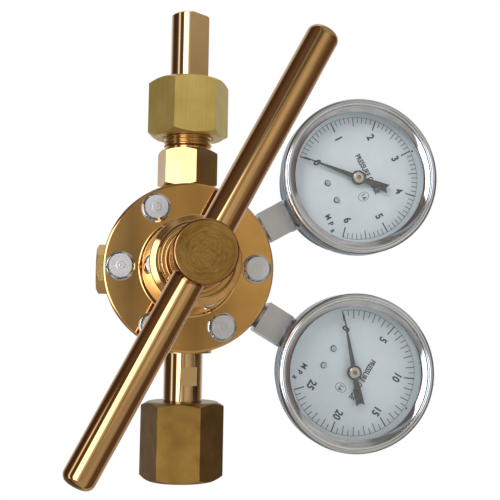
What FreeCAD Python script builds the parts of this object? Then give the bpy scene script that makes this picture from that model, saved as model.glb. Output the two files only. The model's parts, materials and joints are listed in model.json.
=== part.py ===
import FreeCAD, Part
import Sketcher
import math
import os
import re

# In-line gas pressure regulator with a T-bar and two dial gauges, in millimetres.
# +Z runs up the pipe from the inlet to the outlet, and -Y is the front, where the T-bar and the
# dials face.  The origin is where the inlet nut's thread starts, on the pipe's axis.
# "Forward" is the distance in front of the pipe's axis, along -Y.

SIZES = {
    # Body, bonnet and their bolts
    "spindle_height": 91.0,
    "flange_rim": 7.4,
    "flange_face": 27.0,
    "flange_thickness": 7.4,
    "flange_edge": 1.0,
    "body_fillet": 2.5,
    "diaphragm_thickness": 0.6,
    "body_flange_thickness": 16.5,
    "body_core_radius": 22.0,
    "body_back": 19.0,
    "bolt_room": 8.6,
    "bolt_radius": 3.0,
    "bolt_flats": 10.0,
    "bolt_head": 4.0,
    "bolt_length": 20.0,
    "bolt_play": 0.3,
    "bolt_turn_angle": 23.0,
    "washer_radius": 6.2,
    "washer_thickness": 1.5,
    "neck_draft": 1.2,
    "neck_ledge": 3.4,
    "neck_height": 42.4,
    "step_radius": 15.4,
    "step_height": 5.3,
    "ring_ledge": 1.7,
    "ring_height": 1.0,
    "collar_ledge": 1.5,
    "neck_fillet": 1.2,
    "shoulder_round": 2.8,
    "step_round": 1.4,
    "ring_round": 0.6,
    "key_hole_radius": 1.1,
    "key_hole_depth": 4.0,
    "key_hole_angle": -80.2,
    "bonnet_wall": 10.0,
    "spring_bore": 14.8,
    "plate_recess": 3.4,
    "vent_radius": 1.5,
    # Low pressure chamber, seat, poppet and rear plug
    "chamber_radius": 22.0,
    "chamber_depth": 9.5,
    "web_thickness": 6.5,
    "inlet_chamber_radius": 8.0,
    "inlet_chamber_depth": 14.0,
    "seat_thread": 6.0,
    "seat_flange": 7.6,
    "seat_flange_height": 2.0,
    "seat_bore": 2.0,
    "nozzle_length": 1.5,
    "nozzle_radius": 3.4,
    "pin_radius": 1.2,
    "poppet_radius": 6.4,
    "poppet_length": 6.5,
    "poppet_spigot": 2.6,
    "poppet_spigot_length": 4.0,
    "poppet_wire": 0.55,
    "poppet_coil": 3.9,
    "rear_thread": 9.5,
    "rear_plug_flats": 24.0,
    "rear_plug_head": 7.0,
    "rear_pocket_radius": 5.4,
    "rear_pocket_depth": 5.0,
    "gasket_thickness": 1.0,
    # Diaphragm plate, range spring and adjusting screw
    "plate_radius": 14.0,
    "plate_thickness": 3.4,
    "spigot_radius": 8.2,
    "spigot_height": 2.8,
    "stud_radius": 3.0,
    "stud_head_radius": 8.0,
    "stud_head_thickness": 2.5,
    "stud_nut_flats": 10.0,
    "stud_nut_height": 4.0,
    "range_wire": 1.6,
    "range_coil": 10.6,
    "button_radius": 13.3,
    "button_thickness": 4.5,
    "ball_radius": 3.0,
    "ball_pocket": 2.0,
    "screw_radius": 8.0,
    "screw_reach": 4.0,
    "stop_ring_radius": 9.8,
    "stop_ring_thickness": 1.2,
    "stop_ring_gap": 1.5,
    "hub_radius": 11.0,
    "hub_gap": 8.9,
    "hub_length": 28.8,
    "hub_round": 0.9,
    "bar_radius": 6.0,
    "bar_length": 181.0,
    "bar_shift": 2.3,
    "bar_lean_angle": 27.6,
    "bar_round": 3.2,
    "bar_inset": 10.9,
    # Pipe connections
    "port_rise": 0.5,
    "port_radius": 8.0,
    "port_depth": 14.5,
    "port_boss": 12.5,
    "passage_radius": 3.5,
    "stub_radius": 8.65,
    "stub_bore": 4.0,
    "nut_flats": 32.0,
    "nut_thread": 10.95,
    "nut_hole_wall": 5.5,
    "nut_mouth_radius": 10.1,
    "collar_thickness": 4.9,
    "stub_collar_radius": 9.9,
    "nut_chamfer": 1.0,
    "thread_undercut": 1.4,
    "inlet_nut_length": 34.0,
    "inlet_thread_length": 17.0,
    "nose_length": 4.4,
    "nose_radius": 6.0,
    "filter_radius": 3.4,
    "filter_length": 8.0,
    "flat_start": 6.1,
    "flat_length": 8.2,
    "flat_depth": 0.9,
    "adapter_flats": 24.0,
    "adapter_hex_height": 17.0,
    "outlet_nut_offset": 5.9,
    "outlet_nut_length": 26.0,
    "stub_seal_thickness": 2.0,
    "outlet_stub_length": 31.0,
    "outlet_flat_depth": 2.12,
    "relief_depth": 0.3,
    "relief_length": 1.9,
    "relief_show": 0.4,
    "side_port_sink": 2.4,
    "side_port_radius": 6.5,
    "side_port_depth": 10.0,
    "side_passage_radius": 2.0,
    "side_boss": 11.0,
    "side_plug_flats": 19.0,
    "side_plug_head": 4.8,
    # How far each hexagon's or flat's face is turned to the right of the front, in degrees
    "inlet_nut_angle": -8.0,
    "outlet_nut_angle": 7.0,
    "adapter_angle": -17.0,
    "wrench_flat_angle": 16.0,
    "outlet_flat_angle": 40.6,
    # Gauges
    "upper_gauge_angle": 29.4,
    "lower_gauge_angle": -31.0,
    "stem_floor_gap": 2.35,
    "port_forward": 11.0,
    "gauge_thread": 6.5,
    "gauge_thread_length": 11.0,
    "gauge_port_depth": 11.0,
    "gauge_passage_radius": 1.4,
    "stem_forward": 9.0,
    "stem_square": 14.0,
    "stem_square_length": 12.0,
    "stem_collar_length": 2.5,
    "stem_collar_radius": 7.4,
    "case_radius": 31.6,
    "case_depth": 21.0,
    "case_wall": 0.9,
    "bezel_overhang": 2.5,
    "bezel_depth": 10.4,
    "bezel_front": 27.4,
    "bezel_cover": 3.0,
    "bezel_round": 1.4,
    "bezel_lip": 2.6,
    "bead_width": 3.4,
    "bead_drop": 0.6,
    "groove_inset": 2.1,
    "groove_width": 0.5,
    "groove_depth": 0.35,
    "window_thickness": 2.0,
    "spacer_ledge": 0.7,
    "dial_forward": 19.5,
    "dial_thickness": 0.8,
    "dial_sweep_angle": 265.0,
    "dial_twist_angle": 0.6,
    "dial_screw_circle": 13.6,
    "dial_screw_spread": 18.0,
    "dial_screw_radius": 0.7,
    "dial_screw_head": 1.05,
    "dial_screw_length": 4.5,
    "post_radius": 1.8,
    "pointer_lift": 1.5,
    "pointer_gap": 3.0,
    "pointer_tail": 14.2,
    "pointer_waist": 1.0,
    "pointer_fork": 1.9,
    "pointer_tip": 0.12,
    "pointer_thickness": 0.5,
    "pointer_disc": 3.2,
    "pointer_boss": 2.4,
    "pointer_boss_height": 0.9,
    "arbor_radius": 1.0,
    "pinion_radius": 2.2,
    "pinion_length": 3.0,
    "stem_bore": 1.5,
    "tube_block_width": 13.0,
    "tube_block_drop": 11.0,
    "tube_block_depth": 12.0,
    "tube_inset": 9.5,
    "tube_width": 9.0,
    "tube_depth": 2.4,
    "tube_wall": 0.4,
    "tube_clearance": 0.3,
    "tube_sweep_angle": 250.0,
    "movement_width": 16.0,
    "movement_top": 7.0,
    "movement_back": 6.0,
    "movement_depth": 8.2,
    "movement_plate": 1.2,
    "pillar_radius": 1.3,
    "pillar_inset": 2.2,
    # Clearances
    "running": 0.08,
    "seating": 0.05,
}

BOLT_COUNT = 6

# How near an edge lies to the place that names it
MATCH = 0.001

# Radii outward from the bonnet's front step, and how far the ports stand from the spindle's axis
RING_RADIUS = "(step_radius - ring_ledge)"
COLLAR_RADIUS = f"({RING_RADIUS} - collar_ledge)"
NECK_TOP = "(step_radius + neck_ledge)"
NECK_BASE = f"({NECK_TOP} + neck_draft)"
BOLT_CIRCLE = f"({NECK_BASE} + bolt_room)"
FLANGE_RADIUS = f"({BOLT_CIRCLE} + flange_rim)"
PORT_FACE = f"({FLANGE_RADIUS} + port_rise)"
SIDE_PORT_FACE = f"({FLANGE_RADIUS} - side_port_sink)"
GAUGE_PORT_FLOOR = f"({FLANGE_RADIUS} - gauge_port_depth)"

# Distances forward of the pipe's axis
BODY_FRONT = "(flange_face - flange_thickness - diaphragm_thickness)"
FLANGE_BACK = "(flange_face - flange_thickness)"
BODY_FLANGE_BACK = f"({BODY_FRONT} - body_flange_thickness)"
NECK_FRONT = "(flange_face + neck_height)"
BONNET_FRONT = f"({NECK_FRONT} + step_height)"
COLLAR_FRONT = f"({BONNET_FRONT} + 2 * ring_height)"
SPRING_ROOF = f"({BONNET_FRONT} - bonnet_wall)"
CHAMBER_FLOOR = f"({BODY_FRONT} - chamber_depth)"
INLET_CEILING = f"({CHAMBER_FLOOR} - web_thickness)"
INLET_FLOOR = f"({INLET_CEILING} - inlet_chamber_depth)"
NOZZLE_TIP = f"({INLET_CEILING} - nozzle_length)"
POPPET_FACE = f"({NOZZLE_TIP} - seating)"
POPPET_SHOULDER = f"({POPPET_FACE} - poppet_length)"
REAR_POCKET_FLOOR = f"({INLET_FLOOR} - rear_pocket_depth)"
PLATE_FRONT = f"({FLANGE_BACK} + plate_thickness)"
SPIGOT_FRONT = f"({PLATE_FRONT} + spigot_height)"
STUD_BACK = f"({BODY_FRONT} - stud_head_thickness)"
SCREW_TIP = f"({SPRING_ROOF} - screw_reach)"
SCREW_POCKET = f"({SCREW_TIP} + ball_pocket)"
BUTTON_POCKET = f"({SCREW_POCKET} - 2 * ball_radius)"
BUTTON_FRONT = f"({BUTTON_POCKET} + ball_pocket)"
BUTTON_BACK = f"({BUTTON_FRONT} - button_thickness)"
HUB_BACK = f"({COLLAR_FRONT} + hub_gap)"
HUB_FRONT = f"({HUB_BACK} + hub_length)"
BAR_FORWARD = f"({HUB_BACK} + bar_inset)"

# Heights above the spindle's axis
ADAPTER_FOOT = f"({PORT_FACE} + gasket_thickness)"
ADAPTER_SHOULDER = f"({ADAPTER_FOOT} + adapter_hex_height)"
OUTLET_NUT_FOOT = f"({ADAPTER_SHOULDER} + outlet_nut_offset)"
OUTLET_NUT_TOP = f"({OUTLET_NUT_FOOT} + outlet_nut_length)"
OUTLET_COLLAR_TOP = f"({OUTLET_NUT_TOP} - nut_hole_wall - seating)"
RELIEF_TOP = f"({OUTLET_NUT_TOP} + relief_show)"
OUTLET_COLLAR_FOOT = f"({OUTLET_COLLAR_TOP} - collar_thickness)"
ADAPTER_TOP = f"({OUTLET_COLLAR_FOOT} - stub_seal_thickness)"
OUTLET_TOP = f"({OUTLET_NUT_TOP} + outlet_stub_length)"

# Heights above the start of the inlet thread
INLET_NUT_TOP = "(inlet_nut_length - nut_chamfer)"
INLET_SHOULDER = f"({INLET_NUT_TOP} - nut_hole_wall)"
INLET_TOP = f"(spindle_height - {PORT_FACE})"
INLET_COLLAR_TOP = f"({INLET_SHOULDER} - seating)"
NOSE_TOP = f"({INLET_COLLAR_TOP} - collar_thickness)"
NOSE_TIP = f"({NOSE_TOP} - nose_length)"

# From a gauge's centre, and from the spindle's axis to it
BEZEL_RADIUS = "(case_radius + bezel_overhang)"
BEZEL_OPENING = "(case_radius - bezel_cover)"
TUBE_COIL = "(case_radius - tube_inset)"
COLLAR_END = "(case_radius + seating)"
SQUARE_START = f"({COLLAR_END} + stem_collar_length)"
SQUARE_END = f"({SQUARE_START} + stem_square_length)"
THREAD_END = f"({SQUARE_END} + gauge_thread_length)"
GAUGE_REACH = f"({THREAD_END} + {GAUGE_PORT_FLOOR} + stem_floor_gap)"

# Forward of a gauge's back
CASE_BACK = "(port_forward - stem_forward)"
WINDOW_FRONT = "(bezel_front - bezel_lip)"
WINDOW_BACK = f"({WINDOW_FRONT} - window_thickness)"
POINTER_BACK = "(dial_forward + pointer_lift)"
POINTER_FRONT = f"({POINTER_BACK} + pointer_thickness)"
BOSS_FRONT = f"({POINTER_FRONT} + pointer_boss_height)"

FORWARD = FreeCAD.Rotation(FreeCAD.Vector(1, 0, 0), 90)
SKYWARD = FreeCAD.Rotation(FreeCAD.Vector(1, 0, 0), -90)
DOWNWARD = FORWARD
LEFTWARD = FreeCAD.Rotation(FreeCAD.Vector(0, 1, 0), -90)
RIGHTWARD = FreeCAD.Rotation(FreeCAD.Vector(0, 1, 0), 90)
UPWARD = FreeCAD.Rotation()


def about_z(degrees):
    return FreeCAD.Rotation(FreeCAD.Vector(0, 0, 1), degrees)


os.makedirs("parts", exist_ok=True)
doc = FreeCAD.newDocument("pressure_regulator")

sheet = doc.addObject("Spreadsheet::Sheet", "dims")
for row, (alias, size) in enumerate(SIZES.items(), start=1):
    sheet.set(f"A{row}", alias)
    sheet.set(f"B{row}", str(size))
    sheet.setAlias(f"B{row}", alias)
doc.recompute()

nodes = []


def formula(text):
    """Write a size expression with each name that the sheet holds read from the sheet."""
    return re.sub(r"[a-z_]+", lambda word: f"dims.{word[0]}" if word[0] in SIZES else word[0], str(text))


def value(text):
    """The number that a size expression comes to."""
    return float(sheet.evalExpression(formula(text)))


def bind(thing, **sizes):
    for name, text in sizes.items():
        thing.setExpression(name, formula(text))
    return thing


def put(thing, turn=UPWARD, x="0", y="0", z="0"):
    """Turn a thing and move it to a place given by size expressions."""
    thing.Placement = FreeCAD.Placement(FreeCAD.Vector(), turn)
    for axis, text in (("x", x), ("y", y), ("z", z)):
        thing.setExpression(f"Placement.Base.{axis}", formula(text))
    return thing


def primitive(kind, name, **sizes):
    return bind(doc.addObject(f"Part::{kind}", name), **sizes)


def rod(radius, start, end, turn=UPWARD, x="0", y="0", name="rod"):
    """A cylinder along the local Z axis from start to end, or along a turned axis through (x, y)."""
    thing = primitive("Cylinder", name, Radius=radius, Height=f"({end}) - ({start})")
    if turn is UPWARD:
        return put(thing, turn, x, y, start)
    along = turn.multVec(FreeCAD.Vector(0, 0, 1))
    return put(thing, turn,
               f"({x}) + ({start}) * {along.x:.9f}",
               f"({y}) + ({start}) * {along.y:.9f}",
               f"({start}) * {along.z:.9f}")


def block(x, y, z, name="block"):
    """A box between two corners, each axis given as its low and its high end."""
    thing = primitive("Box", name,
                      Length=f"({x[1]}) - ({x[0]})",
                      Width=f"({y[1]}) - ({y[0]})",
                      Height=f"({z[1]}) - ({z[0]})")
    return put(thing, UPWARD, x[0], y[0], z[0])


def cut(name, base, *tools):
    thing = doc.addObject("Part::Cut", name)
    thing.Base = base
    thing.Tool = tools[0] if len(tools) == 1 else fuse(f"{name}_tools", *tools)
    return thing


def fuse(name, *things):
    thing = doc.addObject("Part::MultiFuse", name)
    thing.Shapes = list(things)
    return thing


def common(name, *things):
    thing = doc.addObject("Part::MultiCommon", name)
    thing.Shapes = list(things)
    return thing


def sketch_loop(body, name, plane, points):
    """A closed outline whose corners are tied to size expressions."""
    sketch = body.newObject("Sketcher::SketchObject", f"{name}_outline")
    origin = [item for item in body.Origin.OriginFeatures if item.Role == plane][0]
    sketch.AttachmentSupport = [(origin, "")]
    sketch.MapMode = "FlatFace"
    corners = [FreeCAD.Vector(value(across), value(along), 0) for across, along in points]
    count = len(corners)
    for index in range(count):
        sketch.addGeometry(Part.LineSegment(corners[index], corners[(index + 1) % count]), False)
    for index in range(count):
        sketch.addConstraint(Sketcher.Constraint("Coincident", index, 2, (index + 1) % count, 1))
    for index, pair in enumerate(points):
        for kind, text, axis in (("DistanceX", pair[0], -2), ("DistanceY", pair[1], -1)):
            if str(text) == "0":
                sketch.addConstraint(Sketcher.Constraint("PointOnObject", index, 1, axis))
                continue
            number = sketch.addConstraint(Sketcher.Constraint(kind, -1, 1, index, 1, value(text)))
            sketch.setExpression(f"Constraints[{number}]", formula(text))
    return sketch


def turned(name, points, angle=360):
    """A body turned about the local Z axis from corners given as (radius, height)."""
    body = doc.addObject("PartDesign::Body", name)
    sketch = sketch_loop(body, name, "XZ_Plane", points)
    feature = body.newObject("PartDesign::Revolution", f"{name}_turning")
    feature.Profile = sketch
    feature.ReferenceAxis = (sketch, ["V_Axis"])
    feature.Angle = angle
    body.Tip = feature
    doc.recompute()
    return body


def soften(body, kind, size, *circles):
    """Fillet or chamfer the round edges at the given (radius, height) places of a turned body."""
    base = body.Tip
    names = []
    for radius, height in circles:
        for number, edge in enumerate(base.Shape.Edges, start=1):
            curve = edge.Curve
            if not isinstance(curve, Part.Circle):
                continue
            off = abs(curve.Radius - value(radius)) + abs(curve.Center.z - value(height))
            if off < MATCH:
                names.append(f"Edge{number}")
    feature = body.newObject(f"PartDesign::{kind}", f"{body.Name}_{kind.lower()}")
    feature.Base = (base, names)
    feature.setExpression("Radius" if kind == "Fillet" else "Size", formula(size))
    body.Tip = feature
    doc.recompute()
    return body


def hexagon(name, flats, start, end, ends="both"):
    """A hexagon bar with one flat at the front and 30 degree chamfers on its start, its end or both."""
    prism = primitive("Prism", f"{name}_prism", Circumradius=f"({flats}) / sqrt(3)",
                      Height=f"({end}) - ({start})")
    prism.Polygon = 6
    put(prism, z=start)
    narrow = f"0.48 * ({flats})"
    wide = f"{narrow} + sqrt(3) * (({end}) - ({start}))"
    cones = []
    if ends in ("both", "end"):
        cone = primitive("Cone", f"{name}_end", Radius1=wide, Radius2=narrow, Height=f"({end}) - ({start})")
        cones.append(put(cone, UPWARD, "0", "0", start))
    if ends in ("both", "start"):
        cone = primitive("Cone", f"{name}_start", Radius1=narrow, Radius2=wide, Height=f"({end}) - ({start})")
        cones.append(put(cone, UPWARD, "0", "0", start))
    return common(name, prism, *cones)


def coil(name, radius, wire, start, end, turns):
    """A round-wire compression spring about the local Z axis."""
    height = f"(({end}) - ({start}) - 2 * ({wire}) - 4 * seating)"
    helix = primitive("Helix", f"{name}_path", Radius=radius, Height=height, Pitch=f"{height} / {turns}")
    section = primitive("Circle", f"{name}_section", Radius=wire)
    put(section, FreeCAD.Rotation(FreeCAD.Vector(1, 0, 0), 90), radius, "0", "0")
    sweep = doc.addObject("Part::Sweep", name)
    sweep.Sections = [section]
    sweep.Spine = (helix, [])
    sweep.Solid = True
    sweep.Frenet = True
    return sweep


def node(name, thing, turn=UPWARD, x="0", y="0", z="0"):
    """Name a finished piece and set it in its place."""
    thing.Label = name
    put(thing, turn, x, y, z)
    nodes.append(thing)
    return thing


def on_spindle(name, thing):
    return node(name, thing, FORWARD, z="spindle_height")


def on_pipe(name, thing, facing=0.0):
    """Set a piece on the pipe, its front turned to the right by the angle it faces."""
    return node(name, thing, about_z(facing), z="spindle_height")


def around(count, radius, first=0.0):
    """Places evenly spaced on a circle, as pairs of size expressions."""
    for index in range(count):
        turn = math.radians(first + 360.0 * index / count)
        yield f"({radius}) * {math.cos(turn):.9f}", f"({radius}) * {math.sin(turn):.9f}"


# Valve body: a round forging with a flange for the bonnet and a boss for each pipe
body_forging = turned("body_forging", [
    ("0", "-body_back"),
    ("body_core_radius - 3", "-body_back"),
    ("body_core_radius", "3 - body_back"),
    ("body_core_radius", BODY_FLANGE_BACK),
    (f"{FLANGE_RADIUS} - flange_edge", BODY_FLANGE_BACK),
    (FLANGE_RADIUS, f"{BODY_FLANGE_BACK} + flange_edge"),
    (FLANGE_RADIUS, BODY_FRONT),
    ("0", BODY_FRONT),
])
soften(body_forging, "Fillet", "body_fillet", ("body_core_radius", BODY_FLANGE_BACK))
pipe_boss = rod("port_boss", f"-{PORT_FACE}", PORT_FACE, SKYWARD, name="pipe_boss")
side_boss = rod("side_boss", "0", SIDE_PORT_FACE, LEFTWARD, name="side_boss")
body_cavity = turned("body_cavity", [
    ("0", "-body_back - 1"),
    ("rear_thread + seating", "-body_back - 1"),
    ("rear_thread + seating", INLET_FLOOR),
    ("inlet_chamber_radius", INLET_FLOOR),
    ("inlet_chamber_radius", INLET_CEILING),
    ("seat_thread + seating", INLET_CEILING),
    ("seat_thread + seating", CHAMBER_FLOOR),
    ("chamber_radius", CHAMBER_FLOOR),
    ("chamber_radius", f"{BODY_FRONT} + 1"),
    ("0", f"{BODY_FRONT} + 1"),
])
body_cuts = [
    body_cavity,
    rod("port_radius + seating", f"{PORT_FACE} - port_depth", f"{PORT_FACE} + 1", SKYWARD, name="outlet_port"),
    rod("port_radius + seating", f"{PORT_FACE} - port_depth", f"{PORT_FACE} + 1", DOWNWARD, name="inlet_port"),
    rod("passage_radius", f"{PORT_FACE} - port_depth - 2 * passage_radius - 1", f"{PORT_FACE} - port_depth + 1",
        SKYWARD, name="outlet_passage"),
    rod("passage_radius", "inlet_chamber_radius - 3", f"{PORT_FACE} - port_depth + 1", DOWNWARD,
        name="inlet_passage"),
    rod("passage_radius - 0.5", "0", f"{CHAMBER_FLOOR} + 1", y=f"{PORT_FACE} - port_depth - passage_radius - 1",
        name="chamber_passage"),
    rod("side_port_radius + seating", f"{SIDE_PORT_FACE} - side_port_depth", f"{SIDE_PORT_FACE} + 1", LEFTWARD,
        name="side_port"),
    rod("side_passage_radius", "inlet_chamber_radius - 2", f"{SIDE_PORT_FACE} - side_port_depth + 1", LEFTWARD,
        name="side_passage"),
    rod("side_plug_flats / sqrt(3) + 0.6", SIDE_PORT_FACE, f"{FLANGE_RADIUS} + 1", LEFTWARD, name="side_spot_face"),
]
for x, y in around(BOLT_COUNT, BOLT_CIRCLE):
    body_cuts.append(rod("bolt_radius + seating", "flange_face - bolt_length - 1", "flange_face", x=x, y=y,
                         name="bolt_thread"))
for gauge_angle in ("upper_gauge_angle", "lower_gauge_angle"):
    port = rod("gauge_thread + seating", GAUGE_PORT_FLOOR, f"{FLANGE_RADIUS} + 2",
               about_z(value(gauge_angle)).multiply(RIGHTWARD), name="gauge_port")
    port.setExpression("Placement.Base.z", formula("port_forward"))
    body_cuts.append(port)
passage = rod("gauge_passage_radius", "chamber_radius - 3", f"{GAUGE_PORT_FLOOR} + 1",
              about_z(value("upper_gauge_angle")).multiply(RIGHTWARD), name="upper_gauge_passage")
passage.setExpression("Placement.Base.z", formula("port_forward"))
body_cuts.append(passage)
# The inlet gauge is fed by a slanted drilling that passes behind the low pressure chamber
lower_turn = about_z(value("lower_gauge_angle"))
drill_start = FreeCAD.Vector(value("inlet_chamber_radius - 3"), 0, value(f"({INLET_FLOOR} + {INLET_CEILING}) / 2"))
drill_end = FreeCAD.Vector(value(f"{GAUGE_PORT_FLOOR} + 4"), 0, value("port_forward - gauge_passage_radius"))
drill_line = lower_turn.multVec(drill_end - drill_start)
drilling = primitive("Cylinder", "lower_gauge_passage", Radius="gauge_passage_radius", Height=drill_line.Length)
drilling.Placement = FreeCAD.Placement(lower_turn.multVec(drill_start),
                                       FreeCAD.Rotation(FreeCAD.Vector(0, 0, 1), drill_line))
body_cuts.append(drilling)
on_spindle("valve_body", cut("valve_body", fuse("body_solid", body_forging, pipe_boss, side_boss), *body_cuts))

# Bonnet: bolting flange and stepped neck turned from one forging
bonnet_blank = turned("bonnet_blank", [
    ("chamber_radius", FLANGE_BACK),
    (FLANGE_RADIUS, FLANGE_BACK),
    (FLANGE_RADIUS, "flange_face - flange_edge"),
    (f"{FLANGE_RADIUS} - flange_edge", "flange_face"),
    (NECK_BASE, "flange_face"),
    (NECK_TOP, NECK_FRONT),
    ("step_radius", NECK_FRONT),
    ("step_radius", BONNET_FRONT),
    (RING_RADIUS, BONNET_FRONT),
    (RING_RADIUS, f"{BONNET_FRONT} + ring_height"),
    (COLLAR_RADIUS, f"{BONNET_FRONT} + ring_height"),
    (COLLAR_RADIUS, COLLAR_FRONT),
    ("screw_radius", COLLAR_FRONT),
    ("screw_radius", SPRING_ROOF),
    ("spring_bore", SPRING_ROOF),
    ("spring_bore", f"{FLANGE_BACK} + plate_recess"),
    ("chamber_radius", f"{FLANGE_BACK} + plate_recess"),
])
soften(bonnet_blank, "Fillet", "neck_fillet", (NECK_BASE, "flange_face"))
soften(bonnet_blank, "Fillet", "shoulder_round", (NECK_TOP, NECK_FRONT))
soften(bonnet_blank, "Fillet", "step_round", ("step_radius", BONNET_FRONT))
soften(bonnet_blank, "Fillet", "ring_round", (RING_RADIUS, f"{BONNET_FRONT} + ring_height"),
       (COLLAR_RADIUS, COLLAR_FRONT))
bonnet_cuts = [rod("bolt_radius + bolt_play", f"{FLANGE_BACK} - 1", "flange_face + 1", x=x, y=y, name="bolt_hole")
               for x, y in around(BOLT_COUNT, BOLT_CIRCLE)]
vent = rod("vent_radius", "spring_bore - 2", f"{NECK_BASE} + 2", LEFTWARD, name="side_vent")
vent.setExpression("Placement.Base.z", formula("flange_face + neck_height / 3"))
bonnet_cuts.append(vent)
for x, y in around(1, f"(step_radius + {NECK_TOP}) / 2", value("key_hole_angle")):
    bonnet_cuts.append(rod("key_hole_radius", f"{NECK_FRONT} - key_hole_depth", f"{NECK_FRONT} + 1", x=x, y=y,
                           name="key_hole"))
on_spindle("bonnet", cut("bonnet", bonnet_blank, *bonnet_cuts))

# Bonnet bolts and their spring washers
bolts = []
washers = []
for number, (x, y) in enumerate(around(BOLT_COUNT, BOLT_CIRCLE)):
    foot = "(flange_face + washer_thickness)"
    head = hexagon(f"bolt_head_{number}", "bolt_flats", foot, f"{foot} + bolt_head", "end")
    shank = rod("bolt_radius", "flange_face - bolt_length", f"{foot} + 0.5", name=f"bolt_shank_{number}")
    bolts.append(put(fuse(f"bolt_{number}", head, shank), about_z(number * value("bolt_turn_angle")), x, y))
    ring = cut(f"washer_{number}",
               rod("washer_radius", "flange_face", foot, name=f"washer_disc_{number}"),
               rod("bolt_radius + bolt_play", "flange_face - 1", f"{foot} + 1", name=f"washer_hole_{number}"))
    washers.append(put(ring, UPWARD, x, y))
for name, group in (("bonnet_bolts", bolts), ("bolt_washers", washers)):
    compound = doc.addObject("Part::Compound", name)
    compound.Links = group
    on_spindle(name, compound)

# Diaphragm, clamped between body and bonnet, with its plate, stud and nut
diaphragm_cuts = [rod("bolt_radius + bolt_play", f"{BODY_FRONT} - 1", "flange_face", x=x, y=y, name="diaphragm_hole")
                  for x, y in around(BOLT_COUNT, BOLT_CIRCLE)]
diaphragm_blank = turned("diaphragm_blank", [
    ("stud_radius + seating", BODY_FRONT),
    (f"{FLANGE_RADIUS} - flange_edge", BODY_FRONT),
    (f"{FLANGE_RADIUS} - flange_edge", FLANGE_BACK),
    ("stud_radius + seating", FLANGE_BACK),
])
on_spindle("diaphragm", cut("diaphragm", diaphragm_blank, *diaphragm_cuts))
on_spindle("diaphragm_plate", turned("diaphragm_plate", [
    ("stud_radius + seating", FLANGE_BACK),
    ("plate_radius", FLANGE_BACK),
    ("plate_radius", f"{PLATE_FRONT} - 0.8"),
    ("plate_radius - 0.8", PLATE_FRONT),
    ("spigot_radius", PLATE_FRONT),
    ("spigot_radius", SPIGOT_FRONT),
    ("stud_radius + seating", SPIGOT_FRONT),
]))
on_spindle("diaphragm_stud", turned("diaphragm_stud", [
    ("0", STUD_BACK),
    ("stud_head_radius - 1", STUD_BACK),
    ("stud_head_radius", f"{STUD_BACK} + 1"),
    ("stud_head_radius", BODY_FRONT),
    ("stud_radius", BODY_FRONT),
    ("stud_radius", f"{SPIGOT_FRONT} + stud_nut_height + 1"),
    ("0", f"{SPIGOT_FRONT} + stud_nut_height + 1"),
]))
on_spindle("diaphragm_nut", cut("diaphragm_nut",
                                hexagon("stud_nut_hex", "stud_nut_flats", SPIGOT_FRONT,
                                        f"{SPIGOT_FRONT} + stud_nut_height"),
                                rod("stud_radius + seating", f"{SPIGOT_FRONT} - 1",
                                    f"{SPIGOT_FRONT} + stud_nut_height + 1", name="stud_nut_hole")))

# Valve seat, push pin, poppet with its spring, and the plug that holds them in
on_spindle("valve_seat", turned("valve_seat", [
    ("seat_bore", NOZZLE_TIP),
    ("nozzle_radius - 0.7", NOZZLE_TIP),
    ("nozzle_radius", f"{NOZZLE_TIP} + 0.7"),
    ("nozzle_radius", INLET_CEILING),
    ("seat_thread", INLET_CEILING),
    ("seat_thread", CHAMBER_FLOOR),
    ("seat_flange", CHAMBER_FLOOR),
    ("seat_flange", f"{CHAMBER_FLOOR} + seat_flange_height"),
    ("seat_bore", f"{CHAMBER_FLOOR} + seat_flange_height"),
]))
on_spindle("push_pin", turned("push_pin", [
    ("0", f"{POPPET_FACE} + seating"),
    ("pin_radius", f"{POPPET_FACE} + seating"),
    ("pin_radius", f"{STUD_BACK} - seating"),
    ("0", f"{STUD_BACK} - seating"),
]))
on_spindle("poppet", turned("poppet", [
    ("0", POPPET_FACE),
    ("nozzle_radius + 0.4", POPPET_FACE),
    ("poppet_radius", f"{POPPET_FACE} - 2"),
    ("poppet_radius", POPPET_SHOULDER),
    ("poppet_spigot", POPPET_SHOULDER),
    ("poppet_spigot", f"{POPPET_SHOULDER} - poppet_spigot_length + 0.5"),
    ("poppet_spigot - 0.5", f"{POPPET_SHOULDER} - poppet_spigot_length"),
    ("0", f"{POPPET_SHOULDER} - poppet_spigot_length"),
]))
node("poppet_spring", coil("poppet_spring", "poppet_coil", "poppet_wire", REAR_POCKET_FLOOR, POPPET_SHOULDER, 5),
     FORWARD, y=f"-({REAR_POCKET_FLOOR} + poppet_wire + 2 * seating)", z="spindle_height")
rear_head = hexagon("rear_plug_hex", "rear_plug_flats", "-body_back - gasket_thickness - rear_plug_head",
                    "-body_back - gasket_thickness", "start")
rear_spigot = rod("rear_thread", "-body_back - gasket_thickness - 0.5", INLET_FLOOR, name="rear_spigot")
rear_pocket = rod("rear_pocket_radius", REAR_POCKET_FLOOR, f"{INLET_FLOOR} + 1", name="rear_pocket")
on_spindle("rear_plug", cut("rear_plug", fuse("rear_plug_blank", rear_head, rear_spigot), rear_pocket))
on_spindle("rear_plug_gasket", turned("rear_plug_gasket", [
    ("rear_thread + seating", "-body_back - gasket_thickness"),
    ("rear_thread + 2", "-body_back - gasket_thickness"),
    ("rear_thread + 2", "-body_back"),
    ("rear_thread + seating", "-body_back"),
]))

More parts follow.
